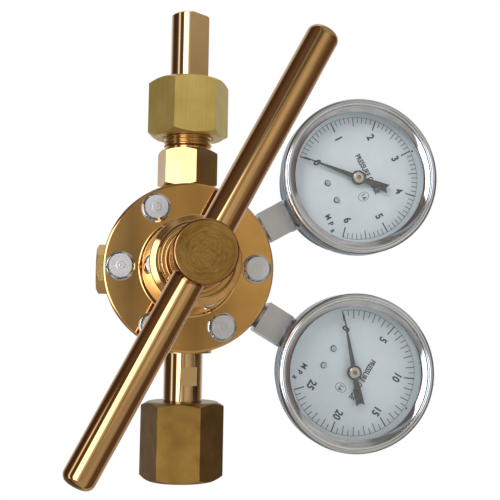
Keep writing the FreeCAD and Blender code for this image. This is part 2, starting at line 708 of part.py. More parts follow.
# Range spring, its button and ball, and the adjusting screw with its stop ring and T-bar
node("range_spring", coil("range_spring", "range_coil", "range_wire", PLATE_FRONT, BUTTON_BACK, 5.5),
     FORWARD, y=f"-({PLATE_FRONT} + range_wire + 2 * seating)", z="spindle_height")
on_spindle("spring_button", turned("spring_button", [
    ("0", f"{BUTTON_BACK} - spigot_height"),
    ("spigot_radius", f"{BUTTON_BACK} - spigot_height"),
    ("spigot_radius", BUTTON_BACK),
    ("button_radius", BUTTON_BACK),
    ("button_radius", f"{BUTTON_FRONT} - 1.5"),
    ("button_radius - 3", BUTTON_FRONT),
    ("ball_radius + 0.1", BUTTON_FRONT),
    ("ball_radius + 0.1", BUTTON_POCKET),
    ("0", BUTTON_POCKET),
]))
node("thrust_ball", primitive("Sphere", "thrust_ball", Radius="ball_radius - seating"),
     FORWARD, y=f"-({BUTTON_POCKET} + ball_radius)", z="spindle_height")
ring_back = f"({SPRING_ROOF} - stop_ring_gap - stop_ring_thickness)"
ring_front = f"({SPRING_ROOF} - stop_ring_gap)"
screw_blank = turned("screw_blank", [
    ("0", SCREW_POCKET),
    ("ball_radius + 0.1", SCREW_POCKET),
    ("ball_radius + 0.1", SCREW_TIP),
    ("screw_radius - 1.6", SCREW_TIP),
    ("screw_radius - running", f"{SCREW_TIP} + 1"),
    ("screw_radius - running", f"{ring_back} - seating"),
    ("screw_radius - 1", f"{ring_back} - seating"),
    ("screw_radius - 1", f"{ring_front} + seating"),
    ("screw_radius - running", f"{ring_front} + seating"),
    ("screw_radius - running", HUB_BACK),
    ("hub_radius", HUB_BACK),
    ("hub_radius", HUB_FRONT),
    ("0", HUB_FRONT),
])
soften(screw_blank, "Fillet", "hub_round", ("hub_radius", HUB_FRONT), ("hub_radius", HUB_BACK))
lean = about_z(-value("bar_lean_angle")).multiply(SKYWARD)
bar_hole = rod("bar_radius + seating", "-hub_radius - 2", "hub_radius + 2", lean, name="bar_hole")
bar_hole.setExpression("Placement.Base.z", formula(BAR_FORWARD))
on_spindle("adjusting_screw", cut("adjusting_screw", screw_blank, bar_hole))
on_spindle("screw_stop_ring", turned("screw_stop_ring", [
    ("screw_radius - 1 + seating", ring_back),
    ("stop_ring_radius", ring_back),
    ("stop_ring_radius", ring_front),
    ("screw_radius - 1 + seating", ring_front),
]))
bar = turned("handle_bar", [
    ("0", "bar_shift - bar_length / 2"),
    ("bar_radius", "bar_shift - bar_length / 2"),
    ("bar_radius", "bar_shift + bar_length / 2"),
    ("0", "bar_shift + bar_length / 2"),
])
soften(bar, "Fillet", "bar_round", ("bar_radius", "bar_shift - bar_length / 2"),
       ("bar_radius", "bar_shift + bar_length / 2"))
node("handle_bar", bar, FreeCAD.Rotation(FreeCAD.Vector(0, 1, 0), value("bar_lean_angle")),
     y=f"-{BAR_FORWARD}", z="spindle_height")

# Inlet: stem with wrench flats and a cone nose, filter, and the swivelling union nut
inlet_blank = turned("inlet_blank", [
    ("filter_radius + seating", NOSE_TIP),
    ("nose_radius", NOSE_TIP),
    ("stub_collar_radius", NOSE_TOP),
    ("stub_collar_radius", INLET_COLLAR_TOP),
    ("stub_radius", INLET_COLLAR_TOP),
    ("stub_radius", INLET_TOP),
    ("port_radius", INLET_TOP),
    ("port_radius", f"{INLET_TOP} + port_depth - 1"),
    ("stub_bore - 1.5", f"{INLET_TOP} + port_depth - 1"),
    ("stub_bore - 1.5", f"{NOSE_TIP} + filter_length"),
    ("filter_radius + seating", f"{NOSE_TIP} + filter_length"),
])
flat_face = "stub_radius - flat_depth"
flats = [block(("-stub_radius - 1", "stub_radius + 1"), span,
               (f"{INLET_TOP} - flat_start - flat_length", f"{INLET_TOP} - flat_start"), name="wrench_flat")
         for span in (("-stub_radius - 1", f"-({flat_face})"), (flat_face, "stub_radius + 1"))]
node("inlet_stem", cut("inlet_stem", inlet_blank, *flats), about_z(value("wrench_flat_angle")))
node("inlet_filter", turned("inlet_filter", [
    ("0", f"{NOSE_TIP} + 0.5"),
    ("filter_radius", f"{NOSE_TIP} + 0.5"),
    ("filter_radius", f"{NOSE_TIP} + filter_length - seating"),
    ("filter_radius - 1.2", f"{NOSE_TIP} + filter_length - seating"),
    ("filter_radius - 1.2", f"{NOSE_TIP} + 2"),
    ("0", f"{NOSE_TIP} + 2"),
]))
inlet_bore = turned("inlet_nut_bore", [
    ("0", "-nut_chamfer - 1"),
    ("nut_mouth_radius + nut_chamfer + 1", "-nut_chamfer - 1"),
    ("nut_mouth_radius", "0"),
    ("nut_mouth_radius", "inlet_thread_length"),
    ("nut_thread", "inlet_thread_length"),
    ("nut_thread", INLET_SHOULDER),
    ("stub_radius + running", INLET_SHOULDER),
    ("stub_radius + running", f"{INLET_NUT_TOP} + 1"),
    ("0", f"{INLET_NUT_TOP} + 1"),
])
node("inlet_nut", cut("inlet_nut", hexagon("inlet_nut_hex", "nut_flats", "-nut_chamfer", INLET_NUT_TOP), inlet_bore),
     about_z(value("inlet_nut_angle")))

# Outlet: hexagon adapter, gaskets, union nut and the stub with its milled flat
on_pipe("outlet_gasket", turned("outlet_gasket", [
    ("port_radius + seating", PORT_FACE),
    ("adapter_flats / 2 - 0.8", PORT_FACE),
    ("adapter_flats / 2 - 0.8", ADAPTER_FOOT),
    ("port_radius + seating", ADAPTER_FOOT),
]))
adapter_hex = hexagon("adapter_hex", "adapter_flats", ADAPTER_FOOT, ADAPTER_SHOULDER)
adapter_core = turned("adapter_core", [
    ("0", f"{PORT_FACE} - port_depth + 1"),
    ("port_radius", f"{PORT_FACE} - port_depth + 1"),
    ("port_radius", f"{ADAPTER_FOOT} + 0.5"),
    ("nut_thread - thread_undercut", f"{ADAPTER_FOOT} + 0.5"),
    ("nut_thread - thread_undercut", f"{ADAPTER_SHOULDER} + 1.2"),
    ("nut_thread - running", f"{ADAPTER_SHOULDER} + 1.2 + thread_undercut / 2"),
    ("nut_thread - running", f"{ADAPTER_TOP} - 1"),
    ("nut_thread - 1 - running", ADAPTER_TOP),
    ("0", ADAPTER_TOP),
])
adapter_bore = rod("stub_bore", f"{PORT_FACE} - port_depth", f"{ADAPTER_TOP} + 1", name="adapter_bore")
on_pipe("outlet_adapter", cut("outlet_adapter", fuse("adapter_blank", adapter_hex, adapter_core), adapter_bore),
        value("adapter_angle"))
on_pipe("stub_seal", turned("stub_seal", [
    ("stub_bore + 0.5", ADAPTER_TOP),
    ("stub_collar_radius - 0.6", ADAPTER_TOP),
    ("stub_collar_radius - 0.6", OUTLET_COLLAR_FOOT),
    ("stub_bore + 0.5", OUTLET_COLLAR_FOOT),
]))
stub_blank = turned("stub_blank", [
    ("stub_bore", OUTLET_COLLAR_FOOT),
    ("stub_collar_radius", OUTLET_COLLAR_FOOT),
    ("stub_collar_radius", OUTLET_COLLAR_TOP),
    ("stub_radius", OUTLET_COLLAR_TOP),
    ("stub_radius", f"{RELIEF_TOP} - relief_length"),
    ("stub_radius - relief_depth", f"{RELIEF_TOP} - relief_length"),
    ("stub_radius - relief_depth", RELIEF_TOP),
    ("stub_radius", RELIEF_TOP),
    ("stub_radius", f"{OUTLET_TOP} - 0.6"),
    ("stub_radius - 0.6", OUTLET_TOP),
    ("stub_bore", OUTLET_TOP),
])
outlet_flat = block(("-stub_radius - 1", "stub_radius + 1"),
                    ("-stub_radius - 1", "-(stub_radius - outlet_flat_depth)"),
                    (RELIEF_TOP, f"{OUTLET_TOP} + 1"), name="outlet_flat")
on_pipe("outlet_stub", cut("outlet_stub", stub_blank, outlet_flat), value("outlet_flat_angle"))
outlet_bore = turned("outlet_nut_bore", [
    ("0", f"{OUTLET_NUT_FOOT} - 1"),
    ("nut_thread + nut_chamfer + 1", f"{OUTLET_NUT_FOOT} - 1"),
    ("nut_thread", f"{OUTLET_NUT_FOOT} + nut_chamfer"),
    ("nut_thread", f"{OUTLET_NUT_TOP} - nut_hole_wall"),
    ("stub_radius + running", f"{OUTLET_NUT_TOP} - nut_hole_wall"),
    ("stub_radius + running", f"{OUTLET_NUT_TOP} + 1"),
    ("0", f"{OUTLET_NUT_TOP} + 1"),
])
on_pipe("outlet_nut", cut("outlet_nut", hexagon("outlet_nut_hex", "nut_flats", OUTLET_NUT_FOOT, OUTLET_NUT_TOP),
                          outlet_bore), value("outlet_nut_angle"))

# Plug of the spare side port
side_start = f"({SIDE_PORT_FACE} + gasket_thickness)"
side_head = hexagon("side_plug_hex", "side_plug_flats", side_start, f"{side_start} + side_plug_head", "end")
side_spigot = rod("side_port_radius", f"{SIDE_PORT_FACE} - side_port_depth + 1", f"{side_start} + 0.5",
                  name="side_spigot")
node("side_plug", fuse("side_plug", side_head, side_spigot), LEFTWARD, z="spindle_height")
node("side_plug_gasket", turned("side_plug_gasket", [
    ("side_port_radius + seating", SIDE_PORT_FACE),
    ("side_plug_flats / 2 - 0.6", SIDE_PORT_FACE),
    ("side_plug_flats / 2 - 0.6", side_start),
    ("side_port_radius + seating", side_start),
]), LEFTWARD, z="spindle_height")


def gauge(name):
    """A bourdon tube gauge.  Its own frame has the dial's top along +Y and its face along +Z."""
    angle = value(f"{name}_gauge_angle")
    across = math.cos(math.radians(angle))
    above = math.sin(math.radians(angle))
    turn = FreeCAD.Rotation(FreeCAD.Vector(0, 1, 0), 90 - angle).multiply(FORWARD)

    def add(part, thing, own_turn=0.0):
        node(f"{name}_gauge_{part}", thing, turn.multiply(about_z(own_turn)),
             x=f"{GAUGE_REACH} * {across:.9f}",
             y=f"-{CASE_BACK}",
             z=f"spindle_height + {GAUGE_REACH} * {above:.9f}")

    def own(part):
        return f"{name}_{part}"

    # Pressed case with a hole for the stem
    case_inside = "(case_radius - case_wall)"
    case_blank = turned(own("case_blank"), [
        ("0", "0"),
        ("case_radius", "0"),
        ("case_radius", "case_depth"),
        (case_inside, "case_depth"),
        (case_inside, "case_wall"),
        ("0", "case_wall"),
    ])
    soften(case_blank, "Fillet", "0.8 * case_wall", ("case_radius", "0"))
    stem_neck = "(stem_collar_radius - 1.5)"
    stem_hole = rod(f"{stem_neck} + 0.1", "case_radius - 4", "case_radius + 1", DOWNWARD, name=own("stem_hole"))
    stem_hole.setExpression("Placement.Base.z", formula("stem_forward"))
    add("case", cut(own("case"), case_blank, stem_hole))

    # Rolled bezel, window, and the spacer between window and dial
    bezel_back = "(bezel_front - bezel_depth)"
    bead_inside = f"({BEZEL_RADIUS} - bead_width)"
    groove = f"({BEZEL_RADIUS} - groove_inset)"
    bezel = turned(own("bezel"), [
        ("case_radius + seating", bezel_back),
        (BEZEL_RADIUS, bezel_back),
        (BEZEL_RADIUS, "bezel_front"),
        (f"{groove} + groove_width / 2", "bezel_front"),
        (groove, "bezel_front - groove_depth"),
        (f"{groove} - groove_width / 2", "bezel_front"),
        (bead_inside, "bezel_front"),
        (bead_inside, "bezel_front - bead_drop"),
        (BEZEL_OPENING, "bezel_front - 2 * bead_drop"),
        (BEZEL_OPENING, WINDOW_FRONT),
        (f"{case_inside} + 0.2", WINDOW_FRONT),
        (f"{case_inside} + 0.2", "case_depth"),
        ("case_radius + seating", "case_depth"),
    ])
    soften(bezel, "Fillet", "bezel_round", (BEZEL_RADIUS, "bezel_front"))
    soften(bezel, "Fillet", "bezel_round / 3", (BEZEL_RADIUS, bezel_back), (bead_inside, "bezel_front"))
    add("bezel", bezel)
    add("window", turned(own("window"), [
        ("0", WINDOW_BACK),
        (case_inside, WINDOW_BACK),
        (case_inside, WINDOW_FRONT),
        ("0", WINDOW_FRONT),
    ]))
    add("spacer", turned(own("spacer"), [
        (f"{BEZEL_OPENING} + spacer_ledge", "dial_forward"),
        (f"{case_inside} - 0.1", "dial_forward"),
        (f"{case_inside} - 0.1", WINDOW_BACK),
        (f"{BEZEL_OPENING} + spacer_ledge", WINDOW_BACK),
    ]))

    # Dial, with two screws into posts that stand on the tube's block
    holes = []
    posts = []
    tapped_holes = []
    screws = []
    for hand in (1, -1):
        spread = math.radians(hand * value("dial_screw_spread"))
        here = {"x": f"dial_screw_circle * {math.sin(spread):.9f}", "y": f"dial_screw_circle * {-math.cos(spread):.9f}"}
        holes.append(rod("dial_screw_radius + seating", "dial_forward - 2", "dial_forward + 1",
                         name=own("screw_hole"), **here))
        posts.append(rod("post_radius", "stem_forward", "dial_forward - dial_thickness", name=own("post"), **here))
        tapped_holes.append(rod("dial_screw_radius + seating", "dial_forward - dial_screw_length - 0.5",
                                "dial_forward", name=own("tapped_hole"), **here))
        head = rod("dial_screw_head", "dial_forward", "dial_forward + 0.7", name=own("screw_head"), **here)
        shank = rod("dial_screw_radius", "dial_forward - dial_screw_length", "dial_forward + 0.2",
                    name=own("screw_shank"), **here)
        screws.append(fuse(own("dial_screw"), head, shank))
    arbor_hole = rod("arbor_radius + 0.5", "dial_forward - 2", "dial_forward + 1", name=own("dial_hole"))
    dial_disc = rod(f"{case_inside} - 0.1", "dial_forward - dial_thickness", "dial_forward", name=own("dial_disc"))
    add("dial", cut(own("dial"), dial_disc, arbor_hole, *holes))
    compound = doc.addObject("Part::Compound", own("dial_screws"))
    compound.Links = screws
    add("dial_screws", compound)

    # Socket: thread, wrench square and collar outside the case, and the tube's block inside it
    undercut = "(gauge_thread - 0.9)"
    stem = turned(own("stem"), [
        ("0", "case_radius - 6"),
        (stem_neck, "case_radius - 6"),
        (stem_neck, COLLAR_END),
        ("stem_collar_radius", COLLAR_END),
        ("stem_collar_radius", f"{SQUARE_START} + 0.5"),
        (undercut, f"{SQUARE_START} + 0.5"),
        (undercut, f"{SQUARE_END} + 0.8"),
        ("gauge_thread", f"{SQUARE_END} + 1.4"),
        ("gauge_thread", f"{THREAD_END} - 1"),
        ("gauge_thread - 1", THREAD_END),
        ("0", THREAD_END),
    ])
    put(stem, DOWNWARD, z="stem_forward")
    square = block(("-stem_square / 2", "stem_square / 2"),
                   (f"-{SQUARE_END}", f"-{SQUARE_START}"),
                   ("stem_forward - stem_square / 2", "stem_forward + stem_square / 2"), name=own("stem_square"))
    tube_block = block(("-tube_block_width / 2", "tube_block_width / 2"),
                       ("5 - case_radius", "-tube_block_drop"),
                       ("stem_forward - tube_block_depth / 2", "stem_forward + tube_block_depth / 2"),
                       name=own("tube_block"))
    bore = rod("stem_bore", "tube_block_drop + 5", f"{THREAD_END} + 1", DOWNWARD, name=own("stem_bore"))
    bore.setExpression("Placement.Base.z", formula("stem_forward"))
    socket_blank = fuse(own("socket_blank"), stem, square, tube_block, *posts)
    add("socket", cut(own("socket"), socket_blank, bore, *tapped_holes))

    # Bourdon tube: a flattened tube bent to an open ring from beside its block, closed at its free end
    beside = value(f"(tube_block_width / 2 + tube_clearance) / ({TUBE_COIL} - tube_depth / 2)")
    tube_start = -math.degrees(math.acos(beside))

    def tube_ring(part, shrink, sweep):
        inner, outer = f"{TUBE_COIL} - tube_depth / 2 + {shrink}", f"{TUBE_COIL} + tube_depth / 2 - {shrink}"
        low, high = f"stem_forward - tube_width / 2 + {shrink}", f"stem_forward + tube_width / 2 - {shrink}"
        ring = turned(own(part), [(inner, low), (outer, low), (outer, high), (inner, high)], sweep)
        return put(ring, about_z(tube_start))

    sweep = value("tube_sweep_angle")
    add("bourdon_tube", cut(own("bourdon_tube"), tube_ring("tube_outside", "0", sweep),
                            tube_ring("tube_inside", "tube_wall", sweep - 1)))

    # Movement frame: two plates on pillars beside the tube's block
    movement_front = "(movement_back + movement_depth)"
    half_width = "movement_width / 2"
    plates = [block((f"-{half_width}", half_width), ("-tube_block_drop", "movement_top"), span,
                    name=own("movement_plate"))
              for span in (("movement_back", "movement_back + movement_plate"),
                           (f"{movement_front} - movement_plate", movement_front))]
    pillars = [rod("pillar_radius", "movement_back + 0.5", f"{movement_front} - 0.5", x=x, y=y, name=own("pillar"))
               for x in (f"pillar_inset - {half_width}", f"{half_width} - pillar_inset")
               for y in ("pillar_inset - tube_block_drop", "movement_top - pillar_inset")]
    arbor_bore = rod("arbor_radius + running", "0", "dial_forward", name=own("arbor_bore"))
    add("movement", cut(own("movement"), fuse(own("movement_blank"), *plates, *pillars), arbor_bore))

    # Pointer at zero, on its arbor and held by its boss
    pinion_back = "(movement_back + movement_plate + 1)"
    add("arbor", turned(own("arbor"), [
        ("0", "movement_back - 0.5"),
        ("arbor_radius", "movement_back - 0.5"),
        ("arbor_radius", pinion_back),
        ("pinion_radius", pinion_back),
        ("pinion_radius", f"{pinion_back} + pinion_length"),
        ("arbor_radius", f"{pinion_back} + pinion_length"),
        ("arbor_radius", f"{POINTER_FRONT} + 0.4"),
        ("0", f"{POINTER_FRONT} + 0.4"),
    ]))
    right_side = [
        ("pointer_tip", f"{BEZEL_OPENING} - pointer_gap"),
        ("pointer_waist", "pointer_disc - 0.5"),
        ("pointer_waist", "0.5 - pointer_disc"),
        ("pointer_fork - 0.4", "-0.6 * pointer_tail"),
        ("pointer_fork", "-pointer_tail"),
    ]
    left_side = [(f"-({x})", y) for x, y in reversed(right_side)]
    blade = doc.addObject("PartDesign::Body", own("pointer_blade"))
    pad = blade.newObject("PartDesign::Pad", own("pointer_pad"))
    pad.Profile = sketch_loop(blade, own("pointer_blade"), "XY_Plane",
                              right_side + [("0", "-0.93 * pointer_tail")] + left_side)
    bind(pad, Length="pointer_thickness")
    blade.Tip = pad
    doc.recompute()
    put(blade, z=POINTER_BACK)
    disc = rod("pointer_disc", POINTER_BACK, POINTER_FRONT, name=own("pointer_disc"))
    eye = rod("arbor_radius + seating", f"{POINTER_BACK} - 1", f"{POINTER_FRONT} + 1", name=own("pointer_eye"))
    zero_turn = value("dial_sweep_angle / 2 - dial_twist_angle")
    add("pointer", cut(own("pointer"), fuse(own("pointer_blank"), blade, disc), eye), zero_turn)
    add("pointer_boss", turned(own("pointer_boss"), [
        ("arbor_radius + seating", POINTER_FRONT),
        ("pointer_boss", POINTER_FRONT),
        ("pointer_boss", f"{BOSS_FRONT} - 0.4"),
        ("pointer_boss - 0.5", BOSS_FRONT),
        ("arbor_radius + seating", BOSS_FRONT),
    ]))


gauge("upper")
gauge("lower")

doc.recompute()
for thing in doc.Objects:
    assert not {"Invalid", "Error"} & set(thing.State), f"{thing.Label} failed: {thing.State}"
for thing in nodes:
    assert not thing.Shape.isNull(), f"{thing.Label} is empty"
    assert thing.Shape.isValid(), f"{thing.Label} is not valid"
for thing in nodes:
    thing.Shape.exportStep(f"parts/{thing.Label}.step")
print(len(nodes), "nodes written")
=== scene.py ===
import bmesh
import bpy
import json
import math
from mathutils import Matrix, Vector

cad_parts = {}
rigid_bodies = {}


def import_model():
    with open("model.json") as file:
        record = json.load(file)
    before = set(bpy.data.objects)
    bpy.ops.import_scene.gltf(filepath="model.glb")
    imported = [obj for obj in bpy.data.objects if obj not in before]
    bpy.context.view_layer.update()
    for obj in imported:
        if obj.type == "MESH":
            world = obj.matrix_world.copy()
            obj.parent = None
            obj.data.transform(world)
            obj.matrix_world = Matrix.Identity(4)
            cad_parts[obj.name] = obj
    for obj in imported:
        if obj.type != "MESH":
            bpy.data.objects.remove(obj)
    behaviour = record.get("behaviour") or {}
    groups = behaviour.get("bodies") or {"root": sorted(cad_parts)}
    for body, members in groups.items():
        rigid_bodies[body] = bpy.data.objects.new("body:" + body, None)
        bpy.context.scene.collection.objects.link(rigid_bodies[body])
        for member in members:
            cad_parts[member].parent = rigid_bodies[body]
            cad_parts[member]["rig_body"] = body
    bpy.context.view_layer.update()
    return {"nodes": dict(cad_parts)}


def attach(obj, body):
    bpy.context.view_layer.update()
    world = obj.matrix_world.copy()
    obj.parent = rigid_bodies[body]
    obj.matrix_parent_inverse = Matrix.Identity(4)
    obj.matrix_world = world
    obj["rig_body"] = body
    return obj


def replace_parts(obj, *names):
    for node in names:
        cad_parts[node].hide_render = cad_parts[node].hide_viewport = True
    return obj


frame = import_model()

NODES = frame["nodes"]
MATERIALS = {}
MM = 0.001

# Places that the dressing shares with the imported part, in millimetres and degrees
SPINDLE_HEIGHT = 91.0
FLANGE_FACE = 27.0
BAR_LEAN = 27.6
GAUGE_REACH = 84.5
GAUGE_ANGLES = {"upper": 29.4, "lower": -31.0}
SPINDLE = Matrix.Translation((0.0, 0.0, SPINDLE_HEIGHT * MM)) @ Matrix.Rotation(math.radians(90), 4, "X")


# Shader helpers

def feed(tree, given, socket):
    """Link an output to a socket, or set the socket to a value."""
    if isinstance(given, bpy.types.NodeSocket):
        tree.links.new(given, socket)
    else:
        socket.default_value = given


def shader_node(tree, kind, settings=None, **inputs):
    """Add a node; inputs are named sockets with underscores for spaces, and take a value or a socket."""
    node = tree.nodes.new(kind)
    for name, setting in (settings or {}).items():
        setattr(node, name, setting)
    for name, given in inputs.items():
        wanted = name.replace("_", " ").lower()
        feed(tree, given, next(s for s in node.inputs if s.name.lower() == wanted and s.enabled))
    return node


def calculate(tree, operation, first, second=0.0):
    node = shader_node(tree, "ShaderNodeMath", {"operation": operation})
    feed(tree, first, node.inputs[0])
    feed(tree, second, node.inputs[1])
    return node.outputs[0]


def vector_math(tree, operation, *given):
    """A vector sum, product or measure; a measure comes out at the socket named Value."""
    node = shader_node(tree, "ShaderNodeVectorMath", {"operation": operation})
    for value, socket in zip(given, node.inputs):
        feed(tree, value, socket)
    return node.outputs["Value" if operation in ("LENGTH", "DOT_PRODUCT") else "Vector"]


def mix_colours(tree, share, first, second):
    node = shader_node(tree, "ShaderNodeMix", {"data_type": "RGBA"})
    sockets = [s for s in node.inputs if s.enabled]
    for value, socket in zip((share, first, second), sockets):
        feed(tree, value, socket)
    return next(s for s in node.outputs if s.enabled)


def mix_shaders(tree, share, first, second):
    node = shader_node(tree, "ShaderNodeMixShader", Fac=share)
    tree.links.new(first, node.inputs[1])
    tree.links.new(second, node.inputs[2])
    return node.outputs[0]


def ramp(tree, factor, stops):
    node = shader_node(tree, "ShaderNodeValToRGB", Fac=factor)
    elements = node.color_ramp.elements
    while len(elements) < len(stops):
        elements.new(0.5)
    for element, (place, colour) in zip(elements, stops):
        element.position = place
        element.color = (*colour, 1.0)
    return node.outputs[0]


def drifting_colour(tree, pattern, dark, light):
    """A colour that drifts between two tones with a pattern that stays near a half."""
    return ramp(tree, pattern, [(0.3, dark), (0.7, light)])


def new_material(name):
    """The node tree and the main shader of a material that is kept in MATERIALS."""
    material = bpy.data.materials.new(name)
    material.use_nodes = True
    MATERIALS[name] = material
    tree = material.node_tree
    return tree, tree.nodes["Principled BSDF"]


def own_place(tree):
    return shader_node(tree, "ShaderNodeTexCoord").outputs["Object"]


def placed_noise(tree, scale, stretch=(1, 1, 1), lean=(0, 0, 0)):
    """Noise in the object's own metres, stretched along its turned axes."""
    mapping = shader_node(tree, "ShaderNodeMapping", {"vector_type": "TEXTURE"}, Vector=own_place(tree),
                          Rotation=lean, Scale=stretch)
    noise = shader_node(tree, "ShaderNodeTexNoise", Vector=mapping.outputs[0], Scale=scale, Detail=4.0)
    return noise.outputs[0]


def from_spindle(tree):
    """The object's own place, as seen from the spindle's axis."""
    away = vector_math(tree, "SUBTRACT", own_place(tree), (0.0, 0.0, SPINDLE_HEIGHT * MM))
    return vector_math(tree, "MULTIPLY", away, (1.0, 0.0, 1.0))


def rings(scale):
    """Turning marks: noise that depends only on the distance from the spindle's axis."""
    def pattern(tree):
        distance = vector_math(tree, "LENGTH", from_spindle(tree))
        return shader_node(tree, "ShaderNodeTexNoise", {"noise_dimensions": "1D"}, W=distance,
                           Scale=scale, Detail=3.0).outputs[0]
    return pattern


def arcs(scale, breaks):
    """Turning marks that come and go around the axis: noise over the radius and the direction from it."""
    def pattern(tree):
        away = from_spindle(tree)
        steps = calculate(tree, "MULTIPLY", vector_math(tree, "LENGTH", away), scale)
        around = vector_math(tree, "SCALE", vector_math(tree, "NORMALIZE", away))
        around.node.inputs["Scale"].default_value = breaks
        return shader_node(tree, "ShaderNodeTexNoise", {"noise_dimensions": "4D"}, Vector=around, W=steps,
                           Scale=1.0, Detail=3.0).outputs[0]
    return pattern


def polish(scale, **options):
    return lambda tree: placed_noise(tree, scale, **options)


def facing_right(degrees):
    """A level direction turned to the right of the front."""
    return (math.sin(math.radians(degrees)), -math.cos(math.radians(degrees)), 0.0)


# Materials

COAT_ROUGHNESS = 0.02
COAT_IOR = 2.05
SMOOTHEST = 0.02
MILLED_MATCH = 0.99


def metal(name, dark, light, roughness, spread, marks, depth, blotch=60.0, metallic=1.0, satin=None,
          rest=None, tone=0.0, lacquer=0.0, edge=None):
    """Metal whose colour drifts between two tones and whose marks are a function of its node tree.

    spread is how much the marks change the roughness, depth their height in millimetres, and blotch the scale
    of the drift. satin gives the direction that milled faces look in, their added roughness and their
    share of metal. rest is the colour of the faces that aren't milled, where it differs. tone is how much the
    marks lighten and darken the colour as painted glints along them, lacquer the share of clear coat, and
    edge the tint of grazing reflections.
    """
    tree, shader = new_material(name)
    drift = placed_noise(tree, blotch)
    pattern = marks(tree)
    # Painted glints: the marks lighten and darken the colour by tone, standing in for light caught along
    # them.
    painted_glints = calculate(tree, "MULTIPLY", calculate(tree, "SUBTRACT", pattern, 0.5), tone)
    colour = drifting_colour(tree, calculate(tree, "ADD", drift, painted_glints), dark, light)
    shader.inputs["Coat Weight"].default_value = lacquer
    shader.inputs["Coat Roughness"].default_value = COAT_ROUGHNESS
    shader.inputs["Coat IOR"].default_value = COAT_IOR
    if edge:
        shader.inputs["Specular Tint"].default_value = (*edge, 1.0)
    rough = shader_node(tree, "ShaderNodeMapRange", Value=pattern, To_Min=max(roughness - spread, SMOOTHEST),
                        To_Max=roughness + spread).outputs[0]
    bump = shader_node(tree, "ShaderNodeBump", Height=pattern, Strength=1.0, Distance=depth * MM)
    tree.links.new(bump.outputs[0], shader.inputs["Normal"])
    shader.inputs["Metallic"].default_value = metallic
    if satin:
        facing, more_rough, satin_metal = satin
        normal = shader_node(tree, "ShaderNodeNewGeometry").outputs["True Normal"]
        match = vector_math(tree, "DOT_PRODUCT", normal, facing)
        milled = calculate(tree, "GREATER_THAN", match, MILLED_MATCH)
        rough = calculate(tree, "ADD", rough, calculate(tree, "MULTIPLY", milled, more_rough))
        share = shader_node(tree, "ShaderNodeMapRange", Value=milled, To_Min=metallic, To_Max=satin_metal)
        tree.links.new(share.outputs[0], shader.inputs["Metallic"])
        if rest:
            colour = mix_colours(tree, milled, (*rest, 1.0), colour)
    tree.links.new(colour, shader.inputs["Base Color"])
    tree.links.new(rough, shader.inputs["Roughness"])


def coating(name, dark, light, roughness, grain, depth):
    """Paint, plastic or rubber with a fine grain."""
    tree, shader = new_material(name)
    drift = placed_noise(tree, grain)
    tree.links.new(drifting_colour(tree, drift, dark, light), shader.inputs["Base Color"])
    bump = shader_node(tree, "ShaderNodeBump", Height=drift, Strength=1.0, Distance=depth * MM)
    tree.links.new(bump.outputs[0], shader.inputs["Normal"])
    shader.inputs["Roughness"].default_value = roughness


def window_glass():
    """Clear flat glass that lets the lamps reach the dial."""
    tree, shader = new_material("window_glass")
    shader.inputs["Transmission Weight"].default_value = 1.0
    shader.inputs["Roughness"].default_value = 0.01
    shader.inputs["IOR"].default_value = 1.45
    smear = drifting_colour(tree, placed_noise(tree, 40.0), (0.97, 0.985, 1.0), (1.0, 1.0, 1.0))
    tree.links.new(smear, shader.inputs["Base Color"])
    path = shader_node(tree, "ShaderNodeLightPath")
    through = calculate(tree, "MAXIMUM", path.outputs["Is Shadow Ray"], path.outputs["Is Diffuse Ray"])
    clear = shader_node(tree, "ShaderNodeBsdfTransparent").outputs[0]
    glass = mix_shaders(tree, through, shader.outputs[0], clear)
    tree.links.new(glass, tree.nodes["Material Output"].inputs["Surface"])


UPRIGHT_GRAIN = (1, 1, 40)
SHORT_GRAIN = (1, 1, 14)
BAR_TURN = (0.0, math.radians(BAR_LEAN), 0.0)
FRONT = (0.0, -1.0, 0.0)
STEEL_EDGE = (0.42, 0.45, 0.47)

metal("bonnet_brass", (0.82, 0.375, 0.022), (0.89, 0.435, 0.04),
      roughness=0.025, spread=0.005, marks=rings(1300.0), depth=0.0001, lacquer=1.0)
metal("body_brass", (0.62, 0.38, 0.13), (0.72, 0.47, 0.17),
      roughness=0.26, spread=0.08, marks=polish(900.0), depth=0.02, metallic=0.85)
# Its tone paints glints along the cap's turning marks.
metal("cap_brass", (0.31, 0.16, 0.036), (0.52, 0.30, 0.08),
      roughness=0.09, spread=0.05, marks=arcs(1500.0, breaks=2.5), depth=0.030, satin=(FRONT, 0.13, 0.90),
      rest=(0.46, 0.23, 0.09), tone=0.8, edge=(0.45, 0.25, 0.15))
metal("bar_brass", (0.68, 0.315, 0.03), (0.78, 0.395, 0.055),
      roughness=0.02, spread=0.008, marks=polish(700.0, stretch=UPRIGHT_GRAIN, lean=BAR_TURN), depth=0.0006,
      lacquer=1.0, edge=(0.75, 0.50, 0.35))
# Its tone paints glints along the nut's marks.
metal("nut_brass", (0.62, 0.43, 0.10), (0.80, 0.60, 0.19),
      roughness=0.36, spread=0.08, marks=polish(1500.0, stretch=UPRIGHT_GRAIN), depth=0.006, metallic=0.74,
      tone=0.4)
metal("old_nut_brass", (0.20, 0.10, 0.017), (0.29, 0.16, 0.031),
      roughness=0.36, spread=0.07, marks=polish(1500.0, stretch=UPRIGHT_GRAIN), depth=0.002, blotch=140.0,
      metallic=0.84)
# Its tone paints glints along the adapter's marks.
metal("adapter_brass", (0.66, 0.40, 0.14), (0.77, 0.50, 0.21),
      roughness=0.17, spread=0.08, marks=polish(1100.0, stretch=UPRIGHT_GRAIN), depth=0.006, metallic=0.94,
      tone=0.7)
metal("stub_brass", (0.75, 0.47, 0.18), (0.83, 0.54, 0.23),
      roughness=0.05, spread=0.02, marks=polish(900.0, stretch=UPRIGHT_GRAIN), depth=0.0015,
      satin=(facing_right(40.6), 0.24, 0.62), lacquer=0.6)
